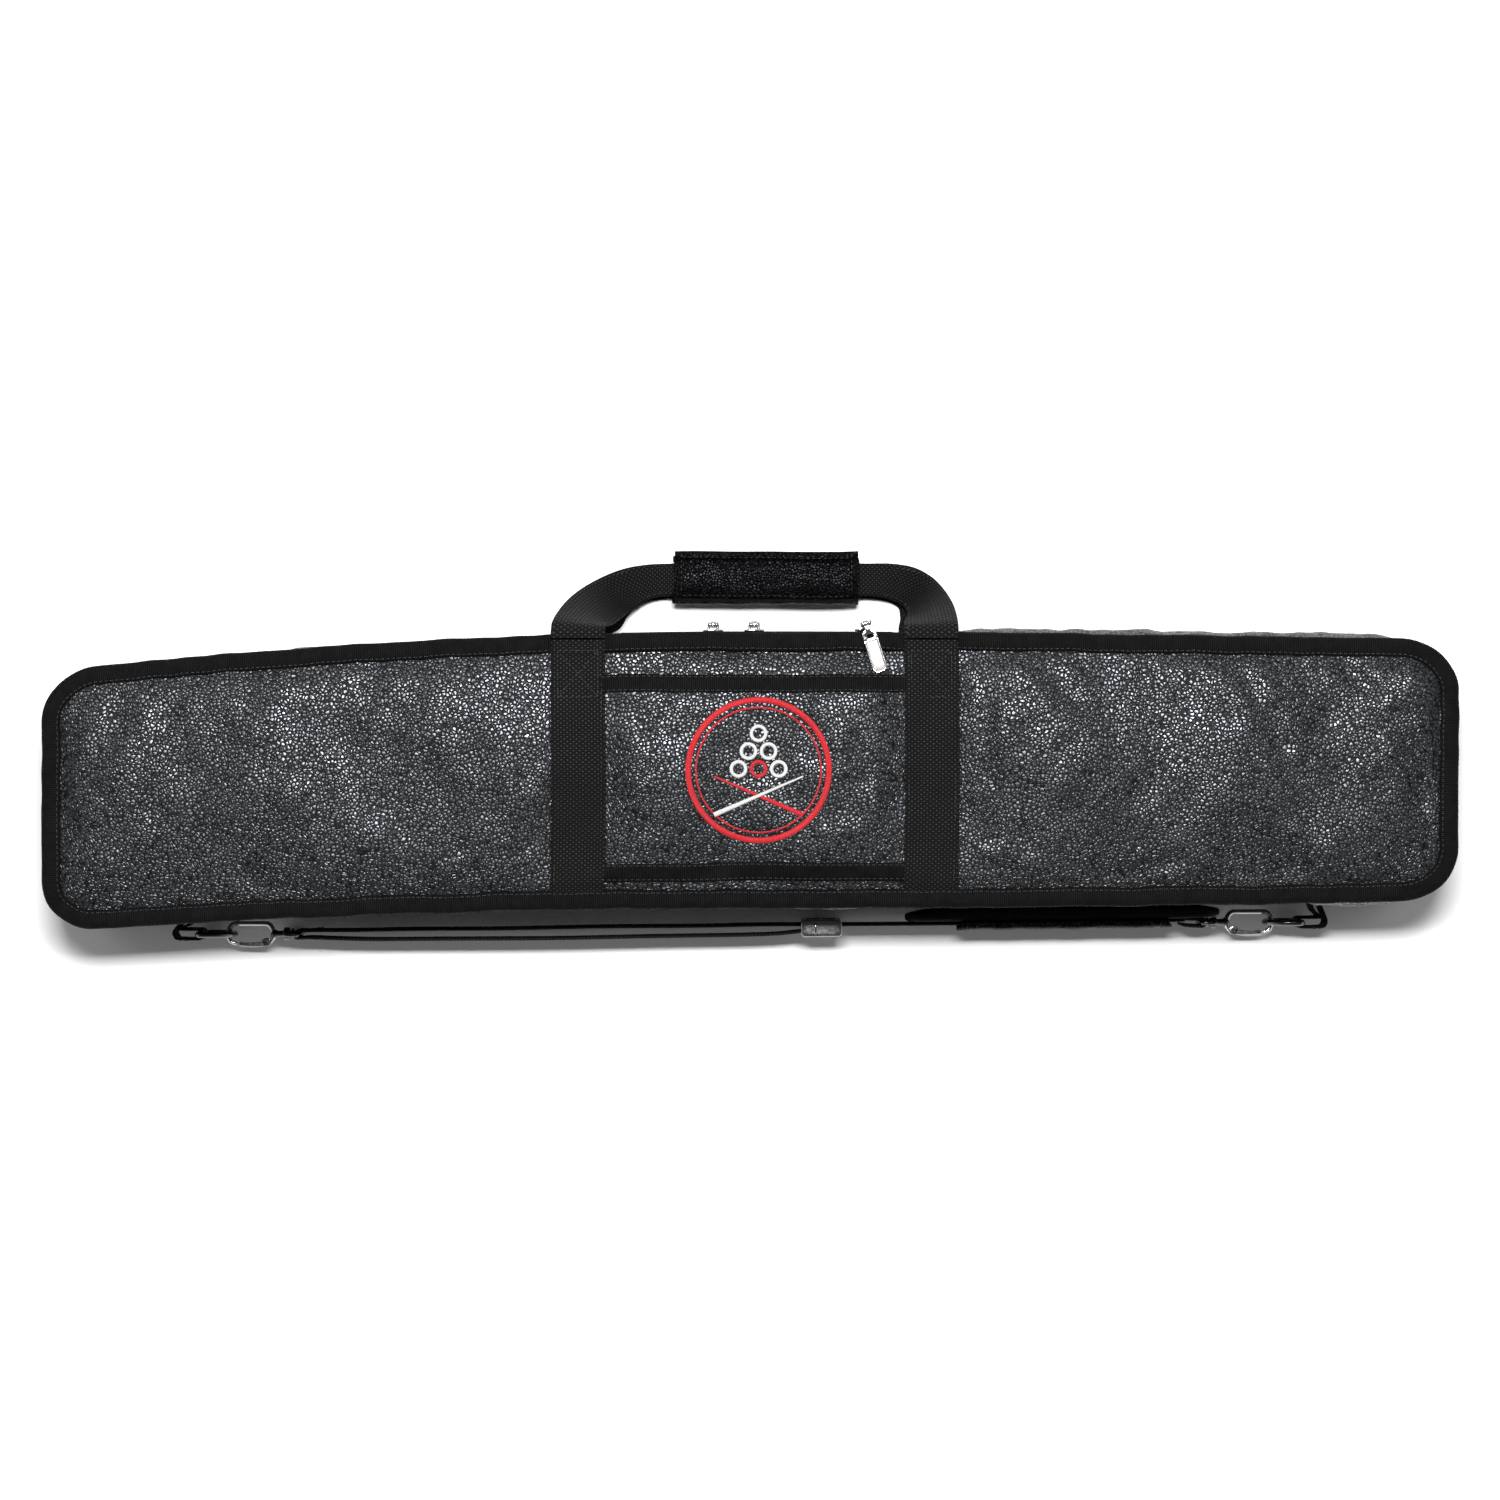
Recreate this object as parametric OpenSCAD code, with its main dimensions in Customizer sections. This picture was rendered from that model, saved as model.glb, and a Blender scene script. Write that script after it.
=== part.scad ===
// Soft billiards cue case lying on its back. Millimetres.
// +X along the case, +Y towards the carrying handle, +Z up out of the front panel.
// The origin is the centre of the flat back panel, at the table.

/* [Shell] */
// Half length of the case
half_len = 417; // [380:1:450]
// Half width of the case at the middle
half_w = 81.5; // [70:0.5:95]
// Corner radius seen from the front
corner_r = 33; // [20:1:45]
// Height of the case lying down
case_z = 81; // [60:1:100]
// Height of the main zip's parting plane
split_z = 40; // [30:1:50]
// Share of the width lost at the two ends
end_taper = 0.06; // [0:0.01:0.1]
// Droop of the left end
left_sag = 19; // [0:1:30]
// Width of the ribbed binding tape on each face
bind_w = 11; // [8:0.5:14]
// Thickness of the bound edge
bind_t = 5.5; // [3:0.5:8]
// Thickness of the padded side wall
wall_t = 4.5; // [3:0.5:8]

/* [Webbing] */
// Width of the sewn carrying webs
web_w = 32; // [25:1:40]
// Thickness of the webbing
web_t = 2; // [1.2:0.1:3]
// Centre of the left web
web_x_left = -101; // [-120:1:-80]
// Centre of the right web
web_x_right = 106.5; // [80:0.5:120]
// Width of the shoulder strap's web
strap_w = 25; // [20:1:38]

/* [Handle] */
// Y of both handle fold lines
fold_y = 84; // [80:0.5:90]
// Z of the front handle's fold line
fold_z = 82; // [78:0.5:86]
// Left end of the grip
grip_x0 = -46; // [-60:1:-30]
// Right end of the grip
grip_x1 = 66; // [50:1:80]

/* [Zips] */
// Start of the left main slider
slider_left_x = -22; // [-60:1:-10]
// Start of the right main slider
slider_right_x = 2.5; // [-8:0.5:40]
// Start of the pocket slider
pocket_slider_x = 68; // [40:1:80]
// Half length of the pocket zip
pocket_zip_half = 80; // [60:1:100]
// Centre of the pocket zip
pocket_zip_x = 4; // [-10:1:20]
// Height of the pocket zip's teeth
pocket_zip_z = 69.5; // [64:0.5:72]

/* [Cue tray] */
// Bottom of the lanes
lane_z = 10; // [8:0.5:14]
// Top of the padded tray
tray_z = 37; // [30:1:39]

/* [Hidden] */
$fn = 48;
coil_out = 0.6; // how far the zip's teeth lie inside the outline
strap_y = -95.8; // strap line at the middle
strap_turn = 0.75; // the strap lies slightly askew
strap_z0 = 3.5; // lower edge of the strap's web
ring_z = 16; // height of the rings and hooks
eye_x = 272; // bar of each swivel eye
hook_x = 302; // middle of each snap hook
ring_x = 332.5; // straight bar of each D ring
end_y_left = -99.4; // the strap's left end
end_y_right = -92.2; // the strap's right end
// Middle and width of each cue lane across the tray.
lanes = [[-57, 22], [-25.2, 31], [11.2, 31], [43, 22]];
lane_end = 375; // half length of the lanes
pull_turn = 17.5; // the pocket pull points a little to the right
pin_z = case_z + 3.3;
pocket_x0 = web_x_left + web_w / 2 + 0.4;
pocket_x1 = web_x_right - web_w / 2 - 0.4;

leather = [0.06, 0.06, 0.065];
ribbed = [0.03, 0.03, 0.03];
webbing = [0.05, 0.05, 0.05];
lining = [0.16, 0.16, 0.18];
metal = [0.75, 0.76, 0.78];
gunmetal = [0.3, 0.3, 0.32];

// ---- outline ----
// Moves a point of the plain rounded rectangle to the case's real, slightly sagging outline.
function warp(p) = [p[0],
  p[1] * (1 - end_taper * pow(p[0] / half_len, 2)) - (p[0] < 0 ? left_sag * pow(p[0] / half_len, 2) : 0)];
function corner(sx, sy, i, r) = [for (k = [0:5])
  let (a = (sx > 0 ? (sy > 0 ? 0 : 270) : (sy > 0 ? 90 : 180)) + k * 18)
  [sx * (half_len - i - r) + r * cos(a), sy * (half_w - i - r) + r * sin(a)]];
function along(x0, x1, y, n) = [for (k = [1:n - 1]) [x0 + (x1 - x0) * k / n, y]];
function round_rect(i) = let (r = max(corner_r - i, 8), ex = half_len - i - r, wy = half_w - i) concat(
  corner(1, 1, i, r), along(ex, -ex, wy, 12), corner(-1, 1, i, r),
  corner(-1, -1, i, r), along(-ex, ex, -wy, 12), corner(1, -1, i, r));
function outline(i) = [for (p = round_rect(i)) warp(p)];
function edge_y(x, sy, i) = warp([x, sy * (half_w - i)])[1];

module plate(i, z0, h) {
  translate([0, 0, z0])
    linear_extrude(h)
      polygon(outline(i));
}

module ring(i0, i1, z0, h) {
  translate([0, 0, z0])
    linear_extrude(h)
      difference() {
        polygon(outline(i0));
        polygon(outline(i1));
      }
}

module block(x0, x1, y0, y1, z0, z1) {
  translate([x0, y0, z0])
    cube([x1 - x0, y1 - y0, z1 - z0]);
}

// The run of the lower long side where the two halves join without a zip.
module hinge_run(z0, z1) {
  block(-350, 350, -110, -60, z0, z1);
}

module side_profile(x0, x1, pts) {
  translate([x0, 0, 0])
    rotate([90, 0, 90])
      linear_extrude(x1 - x0)
        polygon(pts);
}

// ---- rear half ----
module back_panel() {
  color(leather)
    difference() {
      plate(bind_w, 0, bind_t);
      for (x = [web_x_left, web_x_right])
        block(x - web_w / 2 - 0.5, x + web_w / 2 + 0.5, -100, 100, -1, web_t);
    }
}

module rear_binding() {
  color(ribbed)
    difference() {
      ring(0, bind_w, 0.3, bind_t - 0.3);
      for (x = [web_x_left, web_x_right])
        block(x - web_w / 2 - 0.5, x + web_w / 2 + 0.5, -100, 100, -1, web_t);
    }
}

module rear_webs() {
  color(webbing)
    for (x = [web_x_left, web_x_right])
      block(x - web_w / 2, x + web_w / 2, edge_y(x, -1, 2), fold_y - 1.6, 0, web_t - 0.1);
}

module base_board() {
  color(lining)
    plate(wall_t + 2, bind_t, 2);
}

module rear_gusset() {
  color(leather)
    ring(1, 1 + wall_t, bind_t, 34 - bind_t);
}

module main_zip_tape_rear() {
  color(ribbed)
    difference() {
      ring(2, 3.8, 34, split_z - 0.2 - 34);
      hinge_run(33, 41);
    }
}

module main_zip_coil_rear() {
  color(ribbed)
    difference() {
      ring(coil_out, 2, split_z - 3, 2.8);
      hinge_run(33, 41);
    }
}

module hinge_gusset() {
  color(leather)
    intersection() {
      ring(2, 3.8, 34, 12);
      block(-349.5, 349.5, -110, -60, 34, 46);
    }
}

// The lanes are cut straight into the tray, a little off centre to clear the sagging end.
module cue_tray() {
  color(lining)
    difference() {
      plate(wall_t + 2, bind_t + 2, tray_z - bind_t - 2);
      for (l = lanes)
        block(-lane_end, lane_end, l[0] - l[1] / 2, l[0] + l[1] / 2, lane_z, 60);
      for (s = [-1, 1])
        block(min(s * lane_end, s * (lane_end + 8)), max(s * lane_end, s * (lane_end + 8)),
          -68.5, 54.5, lane_z, 60);
    }
}

module tray_end_pads() {
  color(lining)
    for (s = [-1, 1])
      block(min(s * lane_end, s * (lane_end + 7.7)), max(s * lane_end, s * (lane_end + 7.7)),
        -68.2, 54.2, lane_z, tray_z - 2);
}

// Foam cradles with a rounded seat under each cue.
module cue_cradles() {
  color(lining)
    for (x = [-300, -110, 110, 300])
      for (l = lanes)
        translate([x - 12, l[0], 0])
          rotate([90, 0, 90])
            linear_extrude(24)
              difference() {
                translate([-l[1] / 2 + 0.6, lane_z])
                  square([l[1] - 1.2, 6]);
                translate([0, lane_z + 1.6 + l[1] / 2])
                  circle(l[1] / 2 - 0.4);
              }
}

// Elastic bands over the lanes, sewn down beside them.
module retaining_bands() {
  color(webbing)
    for (x = [-200, 200]) {
      block(x - 20, x + 20, -70.4, 56.4, 43, 44.6);
      block(x - 20, x + 20, -70.4, -68.8, tray_z, 43);
      block(x - 20, x + 20, 54.8, 56.4, tray_z, 43);
    }
}

// ---- front half ----
module front_panel() {
  color(leather)
    plate(bind_w, case_z - bind_t, bind_t - 0.8);
}

module front_binding() {
  color(ribbed)
    ring(0, bind_w, case_z - bind_t, bind_t);
}

module pocket_window(extra) {
  block(pocket_zip_x - pocket_zip_half - extra, pocket_zip_x + pocket_zip_half + extra,
    60, 100, pocket_zip_z - 6 - extra, case_z - bind_t);
}

module front_gusset() {
  color(leather)
    difference() {
      ring(1, 1 + wall_t, 46, case_z - bind_t - 46);
      pocket_window(0.3);
    }
}

module main_zip_tape_front() {
  color(ribbed)
    difference() {
      ring(2, 3.8, split_z + 0.2, 46 - split_z - 0.2);
      hinge_run(38, 47);
    }
}

module main_zip_coil_front() {
  color(ribbed)
    difference() {
      ring(coil_out, 2, split_z + 0.2, 2.8);
      hinge_run(38, 47);
    }
}

module pocket_zip_tape() {
  color(ribbed)
    intersection() {
      ring(2, 3.8, pocket_zip_z - 6, 12);
      difference() {
        pocket_window(0);
        block(-100, 100, 60, 100, pocket_zip_z - 1.2, pocket_zip_z + 1.2);
      }
    }
}

module pocket_zip_coil() {
  color(ribbed)
    intersection() {
      ring(1.4, 3.8, pocket_zip_z - 1.2, 2.4);
      pocket_window(0);
    }
}

module lid_liner() {
  color(lining)
    plate(1 + wall_t, 46, 2.5);
}

// Profile of a web lying over the panel and its raised binding.
module front_web(x) {
  y0 = edge_y(x, -1, 1);
  y1 = edge_y(x, 1, bind_w + 1);
  side_profile(x - web_w / 2, x + web_w / 2, [
    [y0, case_z], [y0 + bind_w, case_z], [y0 + bind_w + 1, case_z - 0.8], [y1 - 0.5, case_z - 0.8],
    [y1 + 1, case_z], [fold_y - 1.6, case_z], [fold_y - 1.6, case_z + web_t],
    [y0, case_z + web_t]]);
}

module front_webs() {
  color(webbing) {
    front_web(web_x_left);
    front_web(web_x_right);
  }
}

module slip_pocket() {
  color(leather)
    difference() {
      block(pocket_x0, pocket_x1, -64.5, 57.5, case_z - 0.8, case_z + 6.4);
      block(pocket_x0 + 2, pocket_x1 - 2, -62, 90, case_z - 2, case_z + 4.8);
      block(-200, 200, 47.5, 90, case_z + 4.8, 100);
      block(-200, 200, -90, -54.5, case_z + 4.8, 100);
    }
}

module pocket_binding_top() {
  color(ribbed)
    block(pocket_x0, pocket_x1, 47.5, 57.5, case_z + 4.8, case_z + 7);
}

module pocket_binding_bottom() {
  color(ribbed)
    block(pocket_x0, pocket_x1, -64.5, -54.5, case_z + 4.8, case_z + 7);
}

module emblem() {
  color([0.6, 0.05, 0.05])
    translate([5, 0, case_z + 6.4])
      linear_extrude(0.8)
        difference() {
          circle(43);
          circle(39.5);
        }
}

// ---- handles ----
hang = [[84.4, 82.6], [83.2, 81.4], [89, 70], [94.5, 48], [98, 30], [104, 14], [111, 9],
  [111, 11.5], [106, 15.6], [100, 31], [96.5, 48.6], [91, 70.6]];

module handle_drop(x) {
  translate([x - web_w / 2, fold_y, fold_z])
    rotate([0, 90, 0])
      cylinder(r = 1.2, h = web_w);
  side_profile(x - web_w / 2, x + web_w / 2, hang);
}

module front_handle_web() {
  color(webbing) {
    handle_drop(web_x_left);
    handle_drop(web_x_right);
    translate([0, 0, 8.5])
      linear_extrude(3)
        polygon([[grip_x1 + 0.4, 105], [web_x_right - 10, 104], [web_x_right + 16, 103],
          [web_x_right + 12, 114], [web_x_right - 4, 122], [grip_x1 + 0.4, 124]]);
    translate([0, 0, 8.5])
      linear_extrude(3)
        polygon([[grip_x0 - 0.4, 105], [web_x_left + 10, 104], [web_x_left - 16, 103],
          [web_x_left - 12, 114], [web_x_left + 4, 122], [grip_x0 - 0.4, 124]]);
    block(grip_x0 - 1, grip_x1 + 1, 108, 122, 8.5, 11.5);
  }
}

module grip_core() {
  color(lining)
    difference() {
      block(grip_x0 + 1, grip_x1 - 1, 105, 125, 6.5, 14.5);
      block(grip_x0 - 2, grip_x1 + 2, 107.9, 122.1, 8.4, 11.6);
    }
}

module grip_wrap() {
  color(leather)
    difference() {
      block(grip_x0, grip_x1, 100, 130, 3.4, 18);
      block(grip_x0 - 2, grip_x1 + 2, 104.9, 125.1, 6.4, 14.6);
    }
}

module grip_hook_strip() {
  color(ribbed)
    block(grip_x0 + 6, grip_x1 - 6, 103, 127, 18, 18.8);
}

module grip_flap() {
  color(leather) {
    block(grip_x0 + 0.5, grip_x1 - 0.5, 102, 132.4, 19.2, 21.6);
    translate([grip_x0 + 0.5, 132.4, 20.4])
      rotate([0, 90, 0])
        cylinder(r = 1.2, h = grip_x1 - grip_x0 - 1);
  }
}

module rear_handle_web() {
  color(webbing)
    translate([0, 0, 0.2])
      linear_extrude(1.8)
        polygon([[-117, fold_y], [-85, fold_y], [-68, 104], [86, 104], [90.5, 99], [90.5, fold_y],
          [122.5, fold_y], [122.5, 104], [104, 124], [-58, 124], [-90, 118], [-112, 102]]);
}

// ---- zip hardware ----
// A pull with a barrel at the origin, lying along -Z, its pivot along X.
module pull(len, w) {
  difference() {
    union() {
      rotate([0, 90, 0])
        cylinder(r = 1.9, h = 3.4, center = true);
      translate([-1.7, -0.8, -5])
        cube([3.4, 1.6, 5]);
      translate([-w / 2, -0.8, -len])
        cube([w, 1.6, len - 3.6]);
    }
    rotate([0, 90, 0])
      cylinder(r = 1, h = 10, center = true);
  }
}

// A pivot pin along X between two cheeks that reach back by depth towards -Y.
module pin_and_cheeks(depth) {
  rotate([0, 90, 0])
    cylinder(r = 0.93, h = 5.4, center = true);
  for (s = [-1, 1])
    translate([s * 2.65 - 0.65, 0, 0])
      union() {
        rotate([0, 90, 0])
          cylinder(r = 1.7, h = 1.3);
        translate([0, -depth, -1.7])
          cube([1.3, depth, 3.4]);
      }
}

module main_slider(x) {
  y = edge_y(x, 1, 0);
  color(metal) {
    translate([x, y + 5.4, split_z])
      pin_and_cheeks(3);
    translate([x, y + 2.5, split_z])
      rotate([90, 0, 0])
        linear_extrude(1.4)
          polygon([[-6, -2.6], [-3, -4.6], [5, -3.4], [6, -2], [6, 2], [5, 3.4], [-3, 4.6], [-6, 2.6]]);
  }
}

module main_slider_left() {
  main_slider(slider_left_x);
}

module main_slider_right() {
  main_slider(slider_right_x);
}

module main_pull_left() {
  color(metal)
    translate([slider_left_x, edge_y(slider_left_x, 1, 0) + 5.4, split_z])
      pull(24, 7);
}

module main_pull_right() {
  color(metal)
    translate([slider_right_x, edge_y(slider_right_x, 1, 0) + 5.4, split_z])
      pull(24, 7);
}

// The pocket slider reaches up past the bound edge, where its pull lies back over the edge.
module pocket_slider() {
  y = edge_y(pocket_slider_x, 1, 0);
  color(metal) {
    block(pocket_slider_x - 6, pocket_slider_x + 6, y + 0.6, y + 2, pocket_zip_z - 4, pocket_zip_z + 4);
    block(pocket_slider_x - 2, pocket_slider_x + 2, y + 2, y + 3.2, pocket_zip_z - 3, pin_z - 2.4);
    translate([pocket_slider_x, y + 2.4 + 2.4, pin_z])
      rotate([0, 0, pull_turn]) {
        rotate([0, 90, 0])
          cylinder(r = 0.93, h = 5.4, center = true);
        for (s = [-1, 1])
          translate([s * 2.65 - 0.65, 0, 0])
            union() {
              rotate([0, 90, 0])
                cylinder(r = 1.7, h = 1.3);
              translate([0, -1.7, -3.6])
                cube([1.3, 3.4, 3.6]);
            }
        translate([-3.3, -1.7, -3.6])
          cube([6.6, 3.4, 1.2]);
      }
  }
}

module pocket_pull() {
  y = edge_y(pocket_slider_x, 1, 0);
  color(metal)
    translate([pocket_slider_x, y + 4.8, pin_z])
      rotate([0, 0, pull_turn])
        rotate([-90, 0, 0])
          pull(30, 8.5);
}

// ---- shoulder strap ----
// A web loop round the ring's bar, sewn to the side wall. s is +1 where the ring points to +X.
module ring_tab(s, y) {
  x = -s * ring_x;
  color(webbing)
    difference() {
      union() {
        block(min(x, x - s * 12), max(x, x - s * 12), y - 3.6, y + 3.6, 6, 26);
        translate([0, 0, 6])
          linear_extrude(20)
            polygon([[x - s * 4, y + 3.5], [x - s * 12, y + 3.5], [x - s * 12, edge_y(x - s * 12, -1, 0.6)],
              [x - s * 4, edge_y(x - s * 4, -1, 0.6)]]);
        translate([x, y, 6])
          cylinder(r = 3.6, h = 20);
      }
      translate([x, y, 0])
        cylinder(r = 2.1, h = 60);
    }
}

module ring_tab_left() {
  ring_tab(1, end_y_left);
}

module ring_tab_right() {
  ring_tab(-1, end_y_right);
}

// A D ring standing on edge: its straight bar is along Z at the origin, its bow towards s.
module d_ring(s) {
  cylinder(r = 2, h = 26, center = true);
  for (z = [-13, 13]) {
    translate([0, 0, z])
      sphere(r = 2);
    translate([0, 0, z])
      rotate([0, s * 90, 0])
        cylinder(r = 2, h = 8);
  }
  translate([s * 8, 0, 0])
    rotate([90, 0, 0])
      rotate([0, 0, s > 0 ? -90 : 90])
        rotate_extrude(angle = 180)
          translate([13, 0])
            circle(2);
}

module d_ring_left() {
  color(gunmetal)
    translate([-ring_x, end_y_left, ring_z])
      d_ring(1);
}

module d_ring_right() {
  color(gunmetal)
    translate([ring_x, end_y_right, ring_z])
      d_ring(-1);
}

module stadium(l, w) {
  square([l - w, w], center = true);
  for (x = [-1, 1])
    translate([x * (l - w) / 2, 0])
      circle(w / 2);
}

// A snap hook in the table's plane, its ring end towards +X, open on the -Y side for the gate.
module snap_hook() {
  difference() {
    translate([0, 0, -1.6])
      linear_extrude(3.2)
        difference() {
          stadium(30, 15);
          stadium(24.4, 10);
          translate([-6, -8])
            square([13.5, 5]);
        }
    translate([-12.4, -8, -1])
      cube([8, 4.6, 2]);
    translate([-8.8, -6, -3])
      cylinder(r = 0.9, h = 6);
  }
  translate([-14, 0, 0])
    rotate([0, -90, 0])
      cylinder(r = 2, h = 12.4);
  translate([-24.6, 0, 0])
    rotate([0, -90, 0])
      cylinder(r = 3.4, h = 1.8);
}

module hook_gate() {
  difference() {
    union() {
      translate([-8.8, -6, -0.8])
        cylinder(r = 1.9, h = 1.6);
      translate([-8.8, -7.2, -0.8])
        cube([16, 2.2, 1.6]);
    }
    translate([-8.8, -6, -2])
      cylinder(r = 0.95, h = 4);
  }
}

module hook_rivet() {
  translate([-8.8, -6, -2.3])
    cylinder(r = 0.85, h = 4.6);
  for (z = [-2.3, 1.7])
    translate([-8.8, -6, z])
      cylinder(r = 1.5, h = 0.6);
}

module at_left_hook() {
  translate([-hook_x, end_y_left, ring_z])
    mirror([1, 0, 0])
      children();
}

module at_right_hook() {
  translate([hook_x, end_y_right, ring_z])
    children();
}

module snap_hook_left() {
  color(metal)
    at_left_hook()
      snap_hook();
}

module snap_hook_right() {
  color(metal)
    at_right_hook()
      snap_hook();
}

module hook_gate_left() {
  color(metal)
    at_left_hook()
      hook_gate();
}

module hook_gate_right() {
  color(metal)
    at_right_hook()
      hook_gate();
}

module hook_rivet_left() {
  color(gunmetal)
    at_left_hook()
      hook_rivet();
}

module hook_rivet_right() {
  color(gunmetal)
    at_right_hook()
      hook_rivet();
}

// The eye that the strap's end loops through; the hook's shank turns in its hub.
module swivel_eye() {
  cylinder(r = 1.4, h = 30, center = true);
  for (s = [-1, 1])
    block(-1.4, 10, -1.5, 1.5, s * 14 - 1, s * 14 + 1);
  difference() {
    block(6.5, 10, -4, 4, -15, 15);
    rotate([0, 90, 0])
      cylinder(r = 2.1, h = 20);
  }
}

module swivel_eye_left() {
  color(metal)
    translate([-eye_x, end_y_left, ring_z])
      mirror([1, 0, 0])
        swivel_eye();
}

module swivel_eye_right() {
  color(metal)
    translate([eye_x, end_y_right, ring_z])
      swivel_eye();
}

// Draws its children in the strap's own line: X along it, Y across its thickness.
module in_strap() {
  translate([0, strap_y, 0])
    rotate([0, 0, strap_turn])
      children();
}

module strap_web() {
  color(webbing)
    in_strap()
      block(-262, 262, 1.2, 3, strap_z0, strap_z0 + strap_w);
}

module strap_return() {
  color(webbing)
    in_strap()
      block(-262, 44, -3, -1.2, strap_z0, strap_z0 + strap_w);
}

// The sewn ends of the strap, each looped round its swivel eye's bar.
module strap_keepers() {
  color(webbing)
    for (s = [-1, 1])
      translate([s * eye_x, s < 0 ? end_y_left : end_y_right, strap_z0])
        difference() {
          union() {
            block(min(0, -s * 10), max(0, -s * 10), -3, 3.2, 0, strap_w);
            cylinder(r = 3, h = strap_w);
          }
          translate([0, 0, -1])
            cylinder(r = 1.6, h = 60);
        }
}

module adjuster() {
  color(metal)
    in_strap()
      difference() {
        block(31, 55, -5.4, 5.2, 1.5, 30.5);
        block(29, 57, -3.3, 3.3, 3.2, 28.8);
      }
}

module pad_cushion() {
  color(leather)
    in_strap()
      translate([0, 0, 0.8])
        linear_extrude(33.6)
          polygon([[96, 3.4], [262, 3.4], [268, 4.7], [281, 4.7], [281, 7.4], [262, 10.6], [115, 10.6], [96, 7]]);
}

module pad_binding() {
  color(ribbed)
    in_strap()
      for (z = [0.2, 34.4])
        translate([0, 0, z])
          linear_extrude(0.6)
            polygon([[94, 3.4], [283, 3.4], [283, 7.4], [262, 11], [115, 11], [94, 7.4]]);
}

module pad_sleeve() {
  color(leather)
    in_strap()
      difference() {
        block(127, 252, -1.6, 3.4, 0.8, 34.4);
        block(120, 260, 0.8, 3.5, 3, 29);
      }
}

back_panel();
base_board();
rear_gusset();
rear_binding();
rear_webs();
hinge_gusset();
main_zip_tape_rear();
main_zip_coil_rear();
cue_tray();
tray_end_pads();
cue_cradles();
retaining_bands();
ring_tab_left();
ring_tab_right();
strap_web();
strap_return();
strap_keepers();
swivel_eye_left();
swivel_eye_right();
front_panel();
front_gusset();
front_binding();
front_webs();
slip_pocket();
pocket_binding_top();
pocket_binding_bottom();
emblem();
main_zip_tape_front();
main_zip_coil_front();
pocket_zip_tape();
pocket_zip_coil();
lid_liner();
front_handle_web();
grip_core();
grip_wrap();
grip_hook_strip();
grip_flap();
rear_handle_web();
main_slider_left();
main_slider_right();
main_pull_left();
main_pull_right();
pocket_slider();
pocket_pull();
d_ring_left();
d_ring_right();
snap_hook_left();
snap_hook_right();
hook_rivet_left();
hook_rivet_right();
hook_gate_left();
hook_gate_right();
adjuster();
pad_cushion();
pad_binding();
pad_sleeve();
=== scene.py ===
import math
import bpy
import numpy as np
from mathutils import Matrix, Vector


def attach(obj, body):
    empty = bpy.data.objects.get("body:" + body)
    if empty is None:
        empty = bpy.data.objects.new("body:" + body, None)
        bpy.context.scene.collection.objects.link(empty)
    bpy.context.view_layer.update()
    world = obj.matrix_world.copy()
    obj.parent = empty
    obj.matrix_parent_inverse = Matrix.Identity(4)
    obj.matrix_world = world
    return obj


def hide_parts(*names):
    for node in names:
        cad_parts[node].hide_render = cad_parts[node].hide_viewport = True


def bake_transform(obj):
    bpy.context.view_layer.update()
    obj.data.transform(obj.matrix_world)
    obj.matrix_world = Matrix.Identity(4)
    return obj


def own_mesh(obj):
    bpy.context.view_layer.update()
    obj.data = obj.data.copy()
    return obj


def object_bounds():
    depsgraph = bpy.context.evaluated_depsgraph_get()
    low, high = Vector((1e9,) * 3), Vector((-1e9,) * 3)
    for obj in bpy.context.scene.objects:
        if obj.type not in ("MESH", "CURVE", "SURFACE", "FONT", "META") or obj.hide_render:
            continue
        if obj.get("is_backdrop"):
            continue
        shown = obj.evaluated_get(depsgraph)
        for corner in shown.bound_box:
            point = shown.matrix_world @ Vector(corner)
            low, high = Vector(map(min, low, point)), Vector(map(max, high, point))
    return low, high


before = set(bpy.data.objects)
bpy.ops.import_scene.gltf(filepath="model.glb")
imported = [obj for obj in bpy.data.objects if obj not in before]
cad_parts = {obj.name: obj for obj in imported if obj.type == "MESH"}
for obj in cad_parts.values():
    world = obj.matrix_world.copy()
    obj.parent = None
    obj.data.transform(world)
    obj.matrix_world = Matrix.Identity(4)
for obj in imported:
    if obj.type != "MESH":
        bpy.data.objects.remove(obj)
CAD_LOW, CAD_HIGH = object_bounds()
MM = 0.001
RNG = np.random.default_rng(11)

# The case's outline, as in the CAD model, in metres.
HALF_LEN, HALF_W, CORNER_R = 0.417, 0.0815, 0.033
END_TAPER, LEFT_SAG = 0.06, 0.019
BIND_W = 0.011
WEB_W = 0.032
WEB_X = (-0.101, 0.1065)
FRONT_Z = 0.081


# ---------------------------------------------------------------- numbers
def arr(*v):
    return np.array(v, float)


def smooth(t):
    t = np.clip(t, 0, 1)
    return t * t * (3 - 2 * t)


def waves(x, y, length, seed, count=7):
    """Soft noise between about -1 and 1: a few sine waves of about this length, in fixed random directions."""
    r = np.random.default_rng(seed)
    total = 0
    for _ in range(count):
        a, k, p = r.uniform(0, math.tau), r.uniform(0.6, 1.5) / length, r.uniform(0, math.tau)
        total = total + np.sin(math.tau * k * (x * math.cos(a) + y * math.sin(a)) + p)
    return total / math.sqrt(count)


def warp(x, y):
    t = (x / HALF_LEN) ** 2
    return y * (1 - END_TAPER * t) - np.where(x < 0, LEFT_SAG * t, 0)


def unwarp(x, y):
    t = (x / HALF_LEN) ** 2
    return (y + np.where(x < 0, LEFT_SAG * t, 0)) / (1 - END_TAPER * t)


def edge_y(x, side, inset=0.0):
    return float(warp(np.array(x), side * (HALF_W - inset)))


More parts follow.
